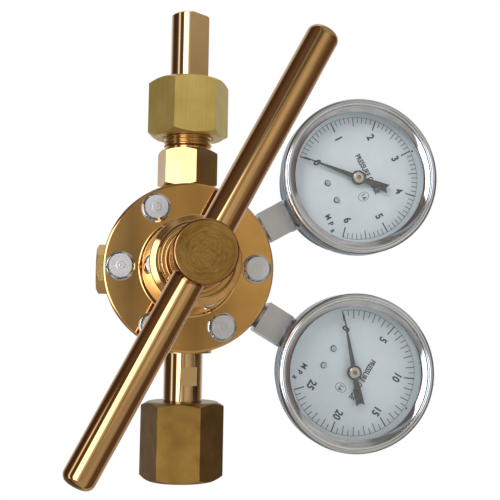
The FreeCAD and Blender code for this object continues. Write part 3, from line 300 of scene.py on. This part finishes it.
metal("stem_brass", (0.68, 0.40, 0.13), (0.76, 0.47, 0.18),
      roughness=0.05, spread=0.02, marks=polish(900.0, stretch=UPRIGHT_GRAIN), depth=0.0015,
      satin=(facing_right(16.0), 0.22, 0.90), lacquer=0.6)
metal("inner_brass", (0.66, 0.50, 0.24), (0.74, 0.58, 0.30),
      roughness=0.28, spread=0.05, marks=polish(800.0), depth=0.005)
metal("gasket_copper", (0.55, 0.27, 0.15), (0.66, 0.34, 0.20),
      roughness=0.40, spread=0.08, marks=polish(700.0), depth=0.01)
metal("filter_bronze", (0.38, 0.25, 0.12), (0.50, 0.34, 0.17),
      roughness=0.65, spread=0.10, marks=polish(2500.0), depth=0.15)

metal("bolt_steel", (0.62, 0.61, 0.60), (0.80, 0.79, 0.77),
      roughness=0.10, spread=0.06, marks=polish(1500.0), depth=0.02, satin=(FRONT, 0.30, 0.75))
metal("washer_steel", (0.62, 0.61, 0.60), (0.78, 0.77, 0.76),
      roughness=0.06, spread=0.03, marks=polish(900.0), depth=0.002)
metal("spring_steel", (0.30, 0.30, 0.31), (0.40, 0.40, 0.41),
      roughness=0.35, spread=0.06, marks=polish(900.0), depth=0.01)
metal("nickel", (0.54, 0.53, 0.51), (0.66, 0.65, 0.63),
      roughness=0.32, spread=0.10, marks=polish(1100.0, stretch=SHORT_GRAIN), depth=0.02, metallic=0.75)
# A darker copy of the chrome, for painted shade on the bezels' sides.
metal("chrome_side_painted_shade", (0.34, 0.36, 0.37), (0.42, 0.44, 0.45),
      roughness=0.16, spread=0.04, marks=polish(300.0), depth=0.002, edge=STEEL_EDGE)
metal("chrome", (0.74, 0.75, 0.76), (0.80, 0.81, 0.82),
      roughness=0.05, spread=0.02, marks=polish(300.0), depth=0.001)
metal("case_steel", (0.32, 0.34, 0.35), (0.39, 0.41, 0.42),
      roughness=0.36, spread=0.05, marks=polish(500.0), depth=0.006, edge=STEEL_EDGE)
metal("boss_metal", (0.44, 0.38, 0.30), (0.54, 0.47, 0.38),
      roughness=0.35, spread=0.06, marks=polish(1800.0), depth=0.01)
metal("arbor_metal", (0.20, 0.15, 0.10), (0.28, 0.21, 0.14),
      roughness=0.35, spread=0.06, marks=polish(1800.0), depth=0.01)

coating("seal_rubber", (0.02, 0.02, 0.02), (0.035, 0.035, 0.035),
        roughness=0.7, grain=1500.0, depth=0.02)
coating("dial_enamel", (0.54, 0.60, 0.61), (0.58, 0.64, 0.65),
        roughness=0.45, grain=120.0, depth=0.002)
coating("spacer_plastic", (0.46, 0.55, 0.62), (0.52, 0.61, 0.67),
        roughness=0.40, grain=300.0, depth=0.004)
coating("pointer_black", (0.03, 0.03, 0.03), (0.045, 0.045, 0.045),
        roughness=0.45, grain=900.0, depth=0.004)
coating("dial_ink", (0.012, 0.013, 0.015), (0.022, 0.023, 0.025),
        roughness=0.6, grain=900.0, depth=0.001)
window_glass()

WEARERS = {
    "bonnet_brass": ["bonnet"],
    "body_brass": ["valve_body", "side_plug", "rear_plug"],
    "cap_brass": ["adjusting_screw"],
    "bar_brass": ["handle_bar"],
    "nut_brass": ["outlet_nut"],
    "old_nut_brass": ["inlet_nut"],
    "adapter_brass": ["outlet_adapter"],
    "stub_brass": ["outlet_stub"],
    "stem_brass": ["inlet_stem"],
    "inner_brass": ["valve_seat", "poppet", "diaphragm_stud", "diaphragm_plate", "spring_button", "push_pin"],
    "gasket_copper": ["outlet_gasket", "rear_plug_gasket", "side_plug_gasket"],
    "filter_bronze": ["inlet_filter"],
    "washer_steel": ["bolt_washers"],
    "bolt_steel": ["bonnet_bolts", "diaphragm_nut", "screw_stop_ring", "thrust_ball"],
    "spring_steel": ["range_spring", "poppet_spring"],
    "seal_rubber": ["diaphragm", "stub_seal"],
}
GAUGE_WEARERS = {
    "chrome": ["bezel"],
    "nickel": ["socket"],
    "window_glass": ["window"],
    "dial_enamel": ["dial"],
    "spacer_plastic": ["spacer"],
    "pointer_black": ["pointer"],
    "boss_metal": ["pointer_boss"],
    "arbor_metal": ["arbor"],
    "case_steel": ["case", "dial_screws"],
    "inner_brass": ["bourdon_tube", "movement"],
}


def dress(material, *names):
    for name in names:
        for slot in NODES[name].material_slots:
            slot.link = "OBJECT"
            slot.material = MATERIALS[material]


for material, names in WEARERS.items():
    dress(material, *names)
for material, parts in GAUGE_WEARERS.items():
    dress(material, *[f"{gauge}_gauge_{part}" for gauge in GAUGE_ANGLES for part in parts])


# Helpers for the pieces

def add_piece(name, mesh, material, body):
    piece = bpy.data.objects.new(name, mesh)
    bpy.context.scene.collection.objects.link(piece)
    mesh.materials.clear()
    mesh.materials.append(MATERIALS[material])
    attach(piece, body)
    return piece


def finished_mesh(bm, name):
    mesh = bpy.data.meshes.new(name)
    bm.to_mesh(mesh)
    bm.free()
    return mesh


def smooth_mesh(bm, name, sharp_degrees):
    """A mesh that shades smoothly, apart from edges sharper than an angle."""
    bmesh.ops.recalc_face_normals(bm, faces=bm.faces)
    mesh = finished_mesh(bm, name)
    mesh.shade_smooth()
    mesh.set_sharp_from_angle(angle=math.radians(sharp_degrees))
    return mesh


def merge_in(bm, other):
    holder = finished_mesh(other, "holder")
    bm.from_mesh(holder)
    bpy.data.meshes.remove(holder)


def lathe(bm, profile, segments, closed=True):
    """Turn a profile of (radius, forward) places in millimetres about the local Z axis."""
    loops = [[bm.verts.new((radius * MM * math.cos(2 * math.pi * step / segments),
                            radius * MM * math.sin(2 * math.pi * step / segments), forward * MM))
              for step in range(segments)] for radius, forward in profile]
    pairs = list(zip(loops, loops[1:])) + ([(loops[-1], loops[0])] if closed else [])
    for first, second in pairs:
        for step in range(segments):
            after = (step + 1) % segments
            bm.faces.new((first[step], first[after], second[after], second[step]))


def arc_points(centre, radius, first, last, count):
    """Places along an arc in the (radius, forward) plane, angles in degrees from the outward direction."""
    for step in range(count + 1):
        turn = math.radians(first + (last - first) * step / count)
        yield (centre[0] + radius * math.cos(turn), centre[1] + radius * math.sin(turn))


def gauge_frame(name, forward):
    """Local axes of a dial: X to its right, Y to its top, Z towards the viewer, on its centre."""
    angle = math.radians(GAUGE_ANGLES[name])
    top = Vector((math.cos(angle), 0.0, math.sin(angle)))
    right = Vector((math.sin(angle), 0.0, -math.cos(angle)))
    centre = Vector((0.0, -forward * MM, SPINDLE_HEIGHT * MM)) + top * GAUGE_REACH * MM
    frame_matrix = Matrix((right, top, Vector((0.0, -1.0, 0.0)))).transposed().to_4x4()
    frame_matrix.translation = centre
    return frame_matrix


# Threads: real grooves on the outlet adapter and on both gauge sockets

OUTLET_THREAD = {"root": 10.0, "crest": 10.87, "start": 56.4, "end": 72.9, "pitch": 25.4 / 14}
SOCKET_THREAD = {"root": 5.7, "crest": 6.5, "start": 47.55, "end": 56.15, "pitch": 1.337}
SOCKET_FORWARD = 11.0
THREAD_AROUND = 72
THREAD_STEPS_PER_TURN = 10
FLAT_CREST = 1.3
END_SLACK = 0.2
CREST_SLACK = 0.25


def thread_surface(bm, place, root, crest, start, end, pitch):
    """A right-hand thread about the local Z axis: a cylinder whose radius waves along a helix."""
    rows = max(2, round((end - start) / pitch * THREAD_STEPS_PER_TURN))
    grid = []
    for row in range(rows + 1):
        height = start + (end - start) * row / rows
        ring = []
        for step in range(THREAD_AROUND):
            turn = 2 * math.pi * step / THREAD_AROUND
            phase = (height / pitch - step / THREAD_AROUND) % 1.0
            wave = 1.0 - abs(2.0 * phase - 1.0)
            radius = root + (crest - root) * min(1.0, FLAT_CREST * wave)
            spot = Vector((radius * math.cos(turn), radius * math.sin(turn), height)) * MM
            ring.append(bm.verts.new(place @ spot))
        grid.append(ring)
    for low, high in zip(grid, grid[1:]):
        for step in range(THREAD_AROUND):
            after = (step + 1) % THREAD_AROUND
            face = bm.faces.new((low[step], low[after], high[after], high[step]))
            face.smooth = True


def threaded_copy(node, place, thread, material):
    """The CAD piece again, with a real thread in place of the plain cylinder between two heights."""
    bm = bmesh.new()
    bm.from_mesh(NODES[node].data)
    back = place.inverted()
    plain = []
    for face in bm.faces:
        centre = back @ face.calc_center_median() / MM
        along = thread["start"] - END_SLACK < centre.z < thread["end"] + END_SLACK
        if along and abs(math.hypot(centre.x, centre.y) - thread["crest"]) < CREST_SLACK:
            plain.append(face)
    bmesh.ops.delete(bm, geom=plain, context="FACES")
    thread_surface(bm, place, **thread)
    mesh = finished_mesh(bm, f"{node}_threaded")
    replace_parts(add_piece(f"{node}_threaded", mesh, material, NODES[node]["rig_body"]), node)


threaded_copy("outlet_adapter", Matrix.Translation((0.0, 0.0, SPINDLE_HEIGHT * MM)), OUTLET_THREAD,
              "adapter_brass")
for gauge in GAUGE_ANGLES:
    stem_axis = gauge_frame(gauge, SOCKET_FORWARD) @ Matrix.Rotation(math.radians(90), 4, "X")
    threaded_copy(f"{gauge}_gauge_socket", stem_axis, SOCKET_THREAD, "nickel")


# Bezels with a rolled rim

BEZEL = {"back": 19.0, "front": 29.4, "radius": 34.1, "case": 31.65, "inside": 30.9, "window": 26.8,
         "opening": 28.6, "round": 1.5, "foot_round": 0.7, "lip": 31.0, "lip_round": 0.45, "lip_fillet": 0.2,
         "lip_depth": 1.1, "groove": 32.15, "groove_half": 0.28, "groove_depth": 0.32, "seat": 4.0}
# Of the faces that look sideways and show, only the side's are larger than this, in square millimetres; these
# take the darker chrome as painted shade
SHADED_SIDE_FACE = 3.0


def bezel_profile():
    """The rolled bezel from its back edge, over the rounded front with its fine groove, to the window."""
    front, back, radius, lip, window = (BEZEL[key] for key in ("front", "back", "radius", "lip", "window"))
    rolled, foot, small, fillet = (BEZEL[key] for key in ("round", "foot_round", "lip_round", "lip_fillet"))
    yield (BEZEL["case"], back)
    yield from arc_points((radius - foot, back + foot), foot, -90, 0, 4)
    yield from arc_points((radius - rolled, front - rolled), rolled, 0, 90, 8)
    yield (BEZEL["groove"] + BEZEL["groove_half"], front)
    yield (BEZEL["groove"], front - BEZEL["groove_depth"])
    yield (BEZEL["groove"] - BEZEL["groove_half"], front)
    yield from arc_points((lip + small, front - small), small, 90, 180, 4)
    yield from arc_points((lip - fillet, front - BEZEL["lip_depth"]), fillet, 0, -90, 2)
    yield (BEZEL["opening"] + 0.4, window + 0.55)
    yield (BEZEL["opening"], window + 0.2)
    yield (BEZEL["opening"], window)
    yield (BEZEL["inside"], window)
    yield (BEZEL["inside"], back + BEZEL["seat"])
    yield (BEZEL["case"], back + BEZEL["seat"])


def rolled_bezel(gauge):
    """The bezel, with a darker copy of its chrome on its side as painted shade."""
    bm = bmesh.new()
    lathe(bm, bezel_profile(), 144)
    bm.transform(gauge_frame(gauge, 0.0))
    mesh = smooth_mesh(bm, f"{gauge}_bezel_rolled", 40)
    bezel = add_piece(f"{gauge}_bezel_rolled", mesh, "chrome", "housing")
    mesh.materials.append(MATERIALS["chrome_side_painted_shade"])
    # Painted shade: the side's large sideways faces take the darker chrome.
    for face in mesh.polygons:
        face.material_index = int(abs(face.normal.y) < 0.05 and face.area > SHADED_SIDE_FACE * MM * MM)
    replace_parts(bezel, f"{gauge}_gauge_bezel")


for gauge in GAUGE_ANGLES:
    rolled_bezel(gauge)


# Bonnet with a turned neck and a soft rim

NECK_RADII = (13.95, 21.2)
NECK_BORE = {"radius": 14.85, "end": 65.0}
NECK_FACE = {"radius": 14.05, "forward": 74.69}
NECK_START = 27.005
RIM_START = 35.02
RIM_DEPTHS = (26.02, 26.99)
NECK_FOOT = 20.0
FOOT_FILLET = 1.17


def neck_profile():
    """The neck from its fillet on the flange to its front ring, with its two coned ledges."""
    yield from arc_points((NECK_FOOT + FOOT_FILLET, FLANGE_FACE + FOOT_FILLET), FOOT_FILLET, -90, -180, 6)
    yield from arc_points((17.0, 68.2), 0.55, 4, 74, 5)
    yield (15.45, 69.2)
    yield (15.2, 69.3)
    yield from arc_points((14.4, 73.6), 0.6, 8, 76, 5)
    yield (14.0, 74.7)


def rim_profile():
    """The flange's front edge: a slight cone, then a small round."""
    yield (35.0, FLANGE_FACE)
    yield (35.6, 26.86)
    yield from arc_points((35.6, 26.42), 0.4, 75, 0, 5)
    yield (36.0, 26.0)


def is_turned(place):
    """Whether a place on the solid bonnet is on the neck's outside or on the rim's chamfer."""
    forward = -place.y / MM
    radius = math.hypot(place.x, place.z - SPINDLE_HEIGHT * MM) / MM
    in_bore = radius < NECK_BORE["radius"] and forward < NECK_BORE["end"]
    on_face = radius < NECK_FACE["radius"] and forward > NECK_FACE["forward"]
    on_neck = forward > NECK_START and NECK_RADII[0] < radius < NECK_RADII[1] and not in_bore and not on_face
    return on_neck or (radius > RIM_START and RIM_DEPTHS[0] < forward < RIM_DEPTHS[1])


def turned_front():
    """The neck and the rim, turned about the spindle, with their faces looking outwards."""
    bm = bmesh.new()
    for profile in (neck_profile(), rim_profile()):
        lathe(bm, profile, 240, closed=False)
    bm.transform(SPINDLE)
    for face in bm.faces:
        face.smooth = True
        centre = face.calc_center_median()
        away = centre - Vector((0.0, centre.y, SPINDLE_HEIGHT * MM))
        if face.normal.dot(away.normalized() + Vector((0.0, -0.2, 0.0))) < 0:
            face.normal_flip()
    return bm


def turned_bonnet():
    bm = bmesh.new()
    bm.from_mesh(NODES["bonnet"].data)
    worn = [face for face in bm.faces if is_turned(face.calc_center_median())]
    bmesh.ops.delete(bm, geom=worn, context="FACES")
    for face in bm.faces:
        face.smooth = abs(face.normal.y) < 0.9999
    merge_in(bm, turned_front())
    mesh = finished_mesh(bm, "bonnet_turned")
    mesh.set_sharp_from_angle(angle=math.radians(24))
    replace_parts(add_piece("bonnet_turned", mesh, "bonnet_brass", "housing"), "bonnet")


turned_bonnet()


# Bolts: rounded washers, and the forging marks on the heads

BOLT_COUNT = 6
BOLT_CIRCLE = 28.6
BOLT_FACE = 32.5
WASHER = [(3.1, 27.0), (6.2, 27.0), (6.2, 28.1), (6.14, 28.25), (6.0, 28.36), (5.62, 28.48), (5.5, 28.44),
          (5.3, 28.05), (3.1, 28.05)]
MARK_RADII = ((0.0, 0.55), (1.5, 2.0))
MARK_ROOT = 0.05
MARK_HEIGHT = 0.10
MARK_CROWN = 0.16
MARK_EYE = 0.01


def on_each_bolt(profiles, segments, forward=0.0):
    """The same turned shapes on the axis of each bolt, from a distance in front of the pipe's axis."""
    whole = bmesh.new()
    for number in range(BOLT_COUNT):
        turn = 2 * math.pi * number / BOLT_COUNT
        place = Matrix.Translation((BOLT_CIRCLE * math.cos(turn) * MM, -forward * MM,
                                    (SPINDLE_HEIGHT + BOLT_CIRCLE * math.sin(turn)) * MM))
        one = bmesh.new()
        for profile in profiles:
            lathe(one, profile, segments)
        one.transform(place @ Matrix.Rotation(math.radians(90), 4, "X"))
        merge_in(whole, one)
    return whole


def rounded_washers():
    mesh = smooth_mesh(on_each_bolt([WASHER], 64), "bolt_washers_rounded", 30)
    washers = add_piece("bolt_washers_rounded", mesh, "washer_steel", "housing")
    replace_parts(washers, "bolt_washers")


def bolt_head_marks():
    profiles = [[(inner, -MARK_ROOT), (outer, -MARK_ROOT), (outer, MARK_HEIGHT),
                 (max(inner, MARK_EYE), MARK_CROWN)] for inner, outer in MARK_RADII]
    bm = on_each_bolt(profiles, 32, BOLT_FACE)
    bmesh.ops.remove_doubles(bm, verts=bm.verts, dist=0.001 * MM)
    bmesh.ops.recalc_face_normals(bm, faces=bm.faces)
    add_piece("bolt_head_marks", finished_mesh(bm, "bolt_head_marks"), "bolt_steel", "housing")


rounded_washers()
bolt_head_marks()


# Dial print: ticks, numbers, unit, words, accuracy class, and the edges of the dial screws' holes

DIAL_FORWARD = 21.5
PRINT_LIFT = 0.04
DIAL_SWEEP = 265.0
DIAL_TWIST = 0.6
TICK_OUTER = 27.1
TICKS = {"minor": (2.5, 0.30), "middle": (3.9, 0.34), "major": (4.6, 0.52)}
SCALE_ARC_WIDTH = 0.16
NUMBER_RADIUS = 19.3
NUMBER_SIZE = 4.7
NUMBER_SQUEEZE = 0.86
UNIT_PLACE = (9.0, -20.1)
UNIT_STEP = (3.1, -0.4)
UNIT_SIZE = 3.4
UNIT_SQUEEZE = 0.85
WORDS_PLACE = (0.5, 4.8)
WORDS_SIZE = 3.3
WORDS_SQUEEZE = 0.74
ACCURACY_PLACE = (8.4, -1.5)
ACCURACY_SIZE = 2.5
OVAL_REACH = (1.9, 2.4)
OVAL_LINE = 0.09
DOT_PLACE = (0.8, 28.0)
DOT_RADIUS = 0.45
SCREW_CIRCLE = 13.6
SCREW_SPREAD = {"left": -18.0, "right": 18.0}
SCREW_EDGE = (1.22, 0.3)
LETTER_BOLDNESS = 0.035
SCALES = {
    "upper": {"full": 6.0, "numbers": [0, 1, 2, 3, 4, 5, 6], "steps": 60, "middle": 5, "major": 10},
    "lower": {"full": 25.0, "numbers": [0, 5, 10, 15, 20, 25], "steps": 50, "middle": 2, "major": 10},
}


def dial_angle(share):
    """Clockwise angle from the dial's top, in radians, at a share of the scale."""
    return math.radians(DIAL_TWIST + DIAL_SWEEP * (share - 0.5))


def on_dial(turn):
    """The unit vector at a clockwise angle from the dial's top."""
    return Vector((math.sin(turn), math.cos(turn), 0.0))


def shifted(face, place):
    return face @ Matrix.Translation((place[0] * MM, place[1] * MM, 0.0))


def stroke(bm, inner, outer, turn, width):
    along = on_dial(turn)
    side = on_dial(turn + math.pi / 2) * width / 2
    corners = [along * inner + side, along * outer + side, along * outer - side, along * inner - side]
    bm.faces.new([bm.verts.new(corner * MM) for corner in corners])


def arc_band(bm, radius, width, first=0.0, last=2 * math.pi, count=32):
    edges = []
    for step in range(count + 1):
        along = on_dial(first + (last - first) * step / count)
        edges.append([bm.verts.new(along * (radius + side * width / 2) * MM) for side in (-1, 1)])
    for before, after in zip(edges, edges[1:]):
        bm.faces.new((before[0], after[0], after[1], before[1]))


def text_mesh(body, size):
    """Text as a flat mesh centred on its own middle."""
    curve = bpy.data.curves.new("lettering", "FONT")
    curve.body = body
    curve.size = size * MM
    curve.align_x = "CENTER"
    curve.align_y = "CENTER"
    curve.offset = LETTER_BOLDNESS * size * MM
    curve.resolution_u = 4
    holder = bpy.data.objects.new("lettering", curve)
    bpy.context.scene.collection.objects.link(holder)
    bpy.context.view_layer.update()
    mesh = bpy.data.meshes.new_from_object(holder.evaluated_get(bpy.context.evaluated_depsgraph_get()))
    bpy.data.objects.remove(holder)
    bpy.data.curves.remove(curve)
    return mesh


def flat_piece(name, bm, place):
    bm.transform(place)
    bm.normal_update()
    add_piece(name, finished_mesh(bm, name), "dial_ink", "housing")


def lettering(name, words, size, face, place, squeeze):
    mesh = text_mesh(words, size)
    bm = bmesh.new()
    bm.from_mesh(mesh)
    bpy.data.meshes.remove(mesh)
    flat_piece(name, bm, shifted(face, place) @ Matrix.Diagonal((squeeze, 1.0, 1.0, 1.0)))


def ring_piece(name, face, place, radius, width, reach=(1.0, 1.0)):
    ring = bmesh.new()
    arc_band(ring, radius, width)
    flat_piece(name, ring, shifted(face, place) @ Matrix.Diagonal((*reach, 1.0, 1.0)))


def print_ticks(gauge, scale, face):
    ticks = bmesh.new()
    for step in range(scale["steps"] + 1):
        kind = "major" if step % scale["major"] == 0 else "middle" if step % scale["middle"] == 0 else "minor"
        length, width = TICKS[kind]
        stroke(ticks, TICK_OUTER - length, TICK_OUTER, dial_angle(step / scale["steps"]), width)
    arc_band(ticks, TICK_OUTER, SCALE_ARC_WIDTH, dial_angle(0.0), dial_angle(1.0), 120)
    flat_piece(f"{gauge}_dial_ticks", ticks, face)


def print_dial(gauge, scale):
    face = gauge_frame(gauge, DIAL_FORWARD + PRINT_LIFT)
    print_ticks(gauge, scale, face)
    ring_piece(f"{gauge}_dial_oval", face, ACCURACY_PLACE, 1.0, OVAL_LINE, OVAL_REACH)
    dot = bmesh.new()
    bmesh.ops.create_circle(dot, cap_ends=True, segments=16, radius=DOT_RADIUS * MM)
    flat_piece(f"{gauge}_dial_dot", dot, shifted(face, DOT_PLACE))
    for number in scale["numbers"]:
        place = on_dial(dial_angle(number / scale["full"])) * NUMBER_RADIUS
        lettering(f"{gauge}_dial_number_{number}", str(number), NUMBER_SIZE, face, place, NUMBER_SQUEEZE)
    for index, letter in enumerate("MPa"):
        place = [start + index * step for start, step in zip(UNIT_PLACE, UNIT_STEP)]
        lettering(f"{gauge}_dial_unit_{index}", letter, UNIT_SIZE, face, place, UNIT_SQUEEZE)
    lettering(f"{gauge}_dial_words", "PRESSURE GAUGE", WORDS_SIZE, face, WORDS_PLACE, WORDS_SQUEEZE)
    for side, spread in SCREW_SPREAD.items():
        place = on_dial(math.radians(180 - spread)) * SCREW_CIRCLE
        ring_piece(f"{gauge}_dial_screw_edge_{side}", face, place, *SCREW_EDGE)
    lettering(f"{gauge}_dial_accuracy", "1.6", ACCURACY_SIZE, face, ACCURACY_PLACE, NUMBER_SQUEEZE)


for gauge, scale in SCALES.items():
    print_dial(gauge, scale)


# Stage, light and camera

FLOOR_HALF = 1.25
FLOOR_HEIGHT = -0.28
FLOOR_TONES = ((0.84, 0.84, 0.84), (0.86, 0.86, 0.86))


def floor():
    """A pale sheet that takes the shadow, fades out at its edge and isn't mirrored."""
    mesh = bpy.data.meshes.new("floor")
    corners = [(x * FLOOR_HALF, y * FLOOR_HALF, 0) for x, y in ((-1, -1), (1, -1), (1, 1), (-1, 1))]
    mesh.from_pydata(corners, [], [(0, 1, 2, 3)])
    plane = bpy.data.objects.new("floor", mesh)
    plane.location.z = FLOOR_HEIGHT
    bpy.context.scene.collection.objects.link(plane)
    tree, shader = new_material("floor_paper")
    grain = drifting_colour(tree, placed_noise(tree, 30.0), *FLOOR_TONES)
    tree.links.new(grain, shader.inputs["Base Color"])
    shader.inputs["Roughness"].default_value = 0.9
    reach = vector_math(tree, "LENGTH", own_place(tree))
    edge = shader_node(tree, "ShaderNodeMapRange", Value=reach, From_Min=0.5 * FLOOR_HALF,
                       From_Max=FLOOR_HALF).outputs[0]
    path = shader_node(tree, "ShaderNodeLightPath")
    hidden = calculate(tree, "MAXIMUM", edge, path.outputs["Is Glossy Ray"])
    clear = shader_node(tree, "ShaderNodeBsdfTransparent").outputs[0]
    sheet = mix_shaders(tree, hidden, shader.outputs[0], clear)
    tree.links.new(sheet, tree.nodes["Material Output"].inputs["Surface"])
    mesh.materials.append(MATERIALS["floor_paper"])


# The room's tones, and the brightness of its lamps
DAYLIGHT = (0.89, 0.94, 1.0)
SOFTBOX = (0.82, 0.87, 1.0)
WALL = (1.0, 0.97, 0.93)
CURTAIN = (1.0, 0.95, 0.78)
WOOD = (1.0, 0.66, 0.55)
LAMP_WHITE = 3.9
# What stands round the object near eye level, as degrees to the right of the viewer, tone and brightness
ROOM = [
    (-180, DAYLIGHT, 0.96),
    (-156, DAYLIGHT, 0.94),
    (-140, DAYLIGHT, 0.54),
    (-128, WOOD, 0.17),
    (-112, WOOD, 0.05),
    (-90, WOOD, 0.065),
    (-79, WALL, 0.16),
    (-76, DAYLIGHT, 1.30),
    (-69, DAYLIGHT, 1.30),
    (-64, WOOD, 0.10),
    (-44, WOOD, 0.10),
    (-39, SOFTBOX, LAMP_WHITE),
    (-17, SOFTBOX, LAMP_WHITE),
    (-12, DAYLIGHT, 0.95),
    (-7, WALL, 0.62),
    (-1.2, DAYLIGHT, 0.39),
    (0.4, WALL, 0.19),
    (1.9, CURTAIN, 0.40),
    (4.5, CURTAIN, 0.25),
    (6.6, CURTAIN, 0.46),
    (20, WALL, 0.70),
    (34, WALL, 0.58),
    (48, WALL, 0.28),
    (76, WOOD, 0.12),
    (104, WOOD, 0.13),
    (122, WALL, 0.24),
    (138, DAYLIGHT, 0.64),
    (180, DAYLIGHT, 0.96),
]
# Above the lamps' tops
UPPER_ROOM = [
    (-180, DAYLIGHT, 0.96),
    (-138, DAYLIGHT, 0.64),
    (-128, WALL, 0.20),
    (-114, WOOD, 0.05),
    (-88, WOOD, 0.09),
    (-62, WOOD, 0.14),
    (-27, WALL, 0.12),
    (-19, DAYLIGHT, 0.38),
    (-13, WALL, 0.17),
    (0, CURTAIN, 0.17),
    (10, WALL, 0.32),
    (46, WALL, 0.50),
    (64, WALL, 0.40),
    (120, WALL, 0.28),
    (138, DAYLIGHT, 0.64),
    (180, DAYLIGHT, 0.96),
]
# Below the lamps' feet
LOWER_ROOM = [
    (-180, WALL, 0.40),
    (-150, WALL, 0.18),
    (-66, WOOD, 0.07),
    (-44, WALL, 0.24),
    (0, WALL, 0.46),
    (44, WALL, 0.42),
    (60, WALL, 0.27),
    (70, WOOD, 0.125),
    (112, WOOD, 0.13),
    (138, WALL, 0.52),
    (180, WALL, 0.44),
]
# The heights, as the sine of their elevation, over which the lamps' tops and feet fade
LAMP_TOP = (0.33, 0.385)
LAMP_FOOT = (-0.30, -0.20)
CLUTTER = (0.72, 1.28)
PLAIN_LIGHT = (0.80, 0.82, 0.85, 1.0)
PLAIN_STRENGTH = 0.75
WHITE = (1.0, 1.0, 1.0, 1.0)


def room_band(tree, share, stops):
    return ramp(tree, share, [(0.5 + degrees / 360.0, [part * bright / LAMP_WHITE for part in tone])
                              for degrees, tone, bright in stops])


def mirrored_room(tree):
    """The room's colour and brightness in each direction, with some clutter."""
    place = shader_node(tree, "ShaderNodeTexCoord").outputs["Generated"]
    direction = shader_node(tree, "ShaderNodeSeparateXYZ", Vector=place)
    forward = calculate(tree, "MULTIPLY", direction.outputs["Y"], -1.0)
    azimuth = calculate(tree, "ARCTAN2", direction.outputs["X"], forward)
    share = shader_node(tree, "ShaderNodeMapRange", Value=azimuth, From_Min=-math.pi,
                        From_Max=math.pi).outputs[0]
    lower, level, upper = (room_band(tree, share, stops) for stops in (LOWER_ROOM, ROOM, UPPER_ROOM))
    room = lower
    for (start, end), above in ((LAMP_FOOT, level), (LAMP_TOP, upper)):
        rise = shader_node(tree, "ShaderNodeMapRange", Value=direction.outputs["Z"], From_Min=start,
                           From_Max=end).outputs[0]
        room = mix_colours(tree, rise, room, above)
    clutter = shader_node(tree, "ShaderNodeTexNoise", Vector=place, Scale=5.0, Detail=5.0, Roughness=0.65)
    shade = shader_node(tree, "ShaderNodeMapRange", Value=clutter.outputs[0], From_Min=0.3, From_Max=0.7,
                        To_Min=CLUTTER[0], To_Max=CLUTTER[1]).outputs[0]
    return room, calculate(tree, "MULTIPLY", shade, LAMP_WHITE)


def studio_world():
    """A white room for the camera, plain light on the object, and the mirrored room in its reflections."""
    world = bpy.data.worlds.new("studio")
    bpy.context.scene.world = world
    world.use_nodes = True
    tree = world.node_tree
    room, strength = mirrored_room(tree)
    plain, mirrored, white = (
        shader_node(tree, "ShaderNodeBackground", Color=colour, Strength=power).outputs[0]
        for colour, power in ((PLAIN_LIGHT, PLAIN_STRENGTH), (room, strength), (WHITE, 1.0)))
    path = shader_node(tree, "ShaderNodeLightPath")
    by_gloss = mix_shaders(tree, path.outputs["Is Glossy Ray"], plain, mirrored)
    seen = calculate(tree, "MAXIMUM", path.outputs["Is Camera Ray"], path.outputs["Is Transmission Ray"])
    tree.links.new(mix_shaders(tree, seen, by_gloss, white), tree.nodes["World Output"].inputs["Surface"])


def lamp(name, power, size, place, target=(0.02, -0.03, 0.10)):
    light = bpy.data.lights.new(name, "AREA")
    light.energy = power
    light.size = size
    lamp_object = bpy.data.objects.new(name, light)
    lamp_object.location = place
    lamp_object.rotation_euler = (Vector(target) - Vector(place)).to_track_quat("-Z", "Y").to_euler()
    lamp_object.visible_glossy = False
    bpy.context.scene.collection.objects.link(lamp_object)


CAMERA_PLACE = (-24.4, -410.6, 67.0)
CAMERA_YAW = 7.45
CAMERA_PITCH = 4.74
CAMERA_ROLL = 0.92
FOCAL_PIXELS = 912.4
IMAGE_PIXELS = 500.0
SENSOR_WIDTH = 36.0


def photo_camera():
    """The photograph's camera, turned to the right by its yaw and up by its pitch."""
    yaw, pitch, roll = (math.radians(angle) for angle in (CAMERA_YAW, CAMERA_PITCH, CAMERA_ROLL))
    forward = Vector((math.sin(yaw) * math.cos(pitch), math.cos(yaw) * math.cos(pitch), math.sin(pitch)))
    level = Vector((math.cos(yaw), -math.sin(yaw), 0.0))
    upright = level.cross(forward)
    right = level * math.cos(roll) + upright * math.sin(roll)
    up = upright * math.cos(roll) - level * math.sin(roll)
    data = bpy.data.cameras.new("photo_camera")
    data.sensor_width = SENSOR_WIDTH
    data.lens = SENSOR_WIDTH * FOCAL_PIXELS / IMAGE_PIXELS
    data.clip_start = 0.01
    camera = bpy.data.objects.new("photo_camera", data)
    turn = Matrix((right, up, -forward)).transposed().to_4x4()
    camera.matrix_world = Matrix.Translation(Vector(CAMERA_PLACE) * MM) @ turn
    bpy.context.scene.collection.objects.link(camera)
    bpy.context.scene.camera = camera


floor()
studio_world()
lamp("key_lamp", 5.0, 0.4, (-0.55, -0.65, 0.75))
lamp("fill_lamp", 1.6, 0.6, (0.75, -0.55, 0.30))
lamp("back_lamp", 1.6, 0.6, (0.10, 0.70, 0.60))
photo_camera()
bpy.context.scene.view_settings.view_transform = "Standard"
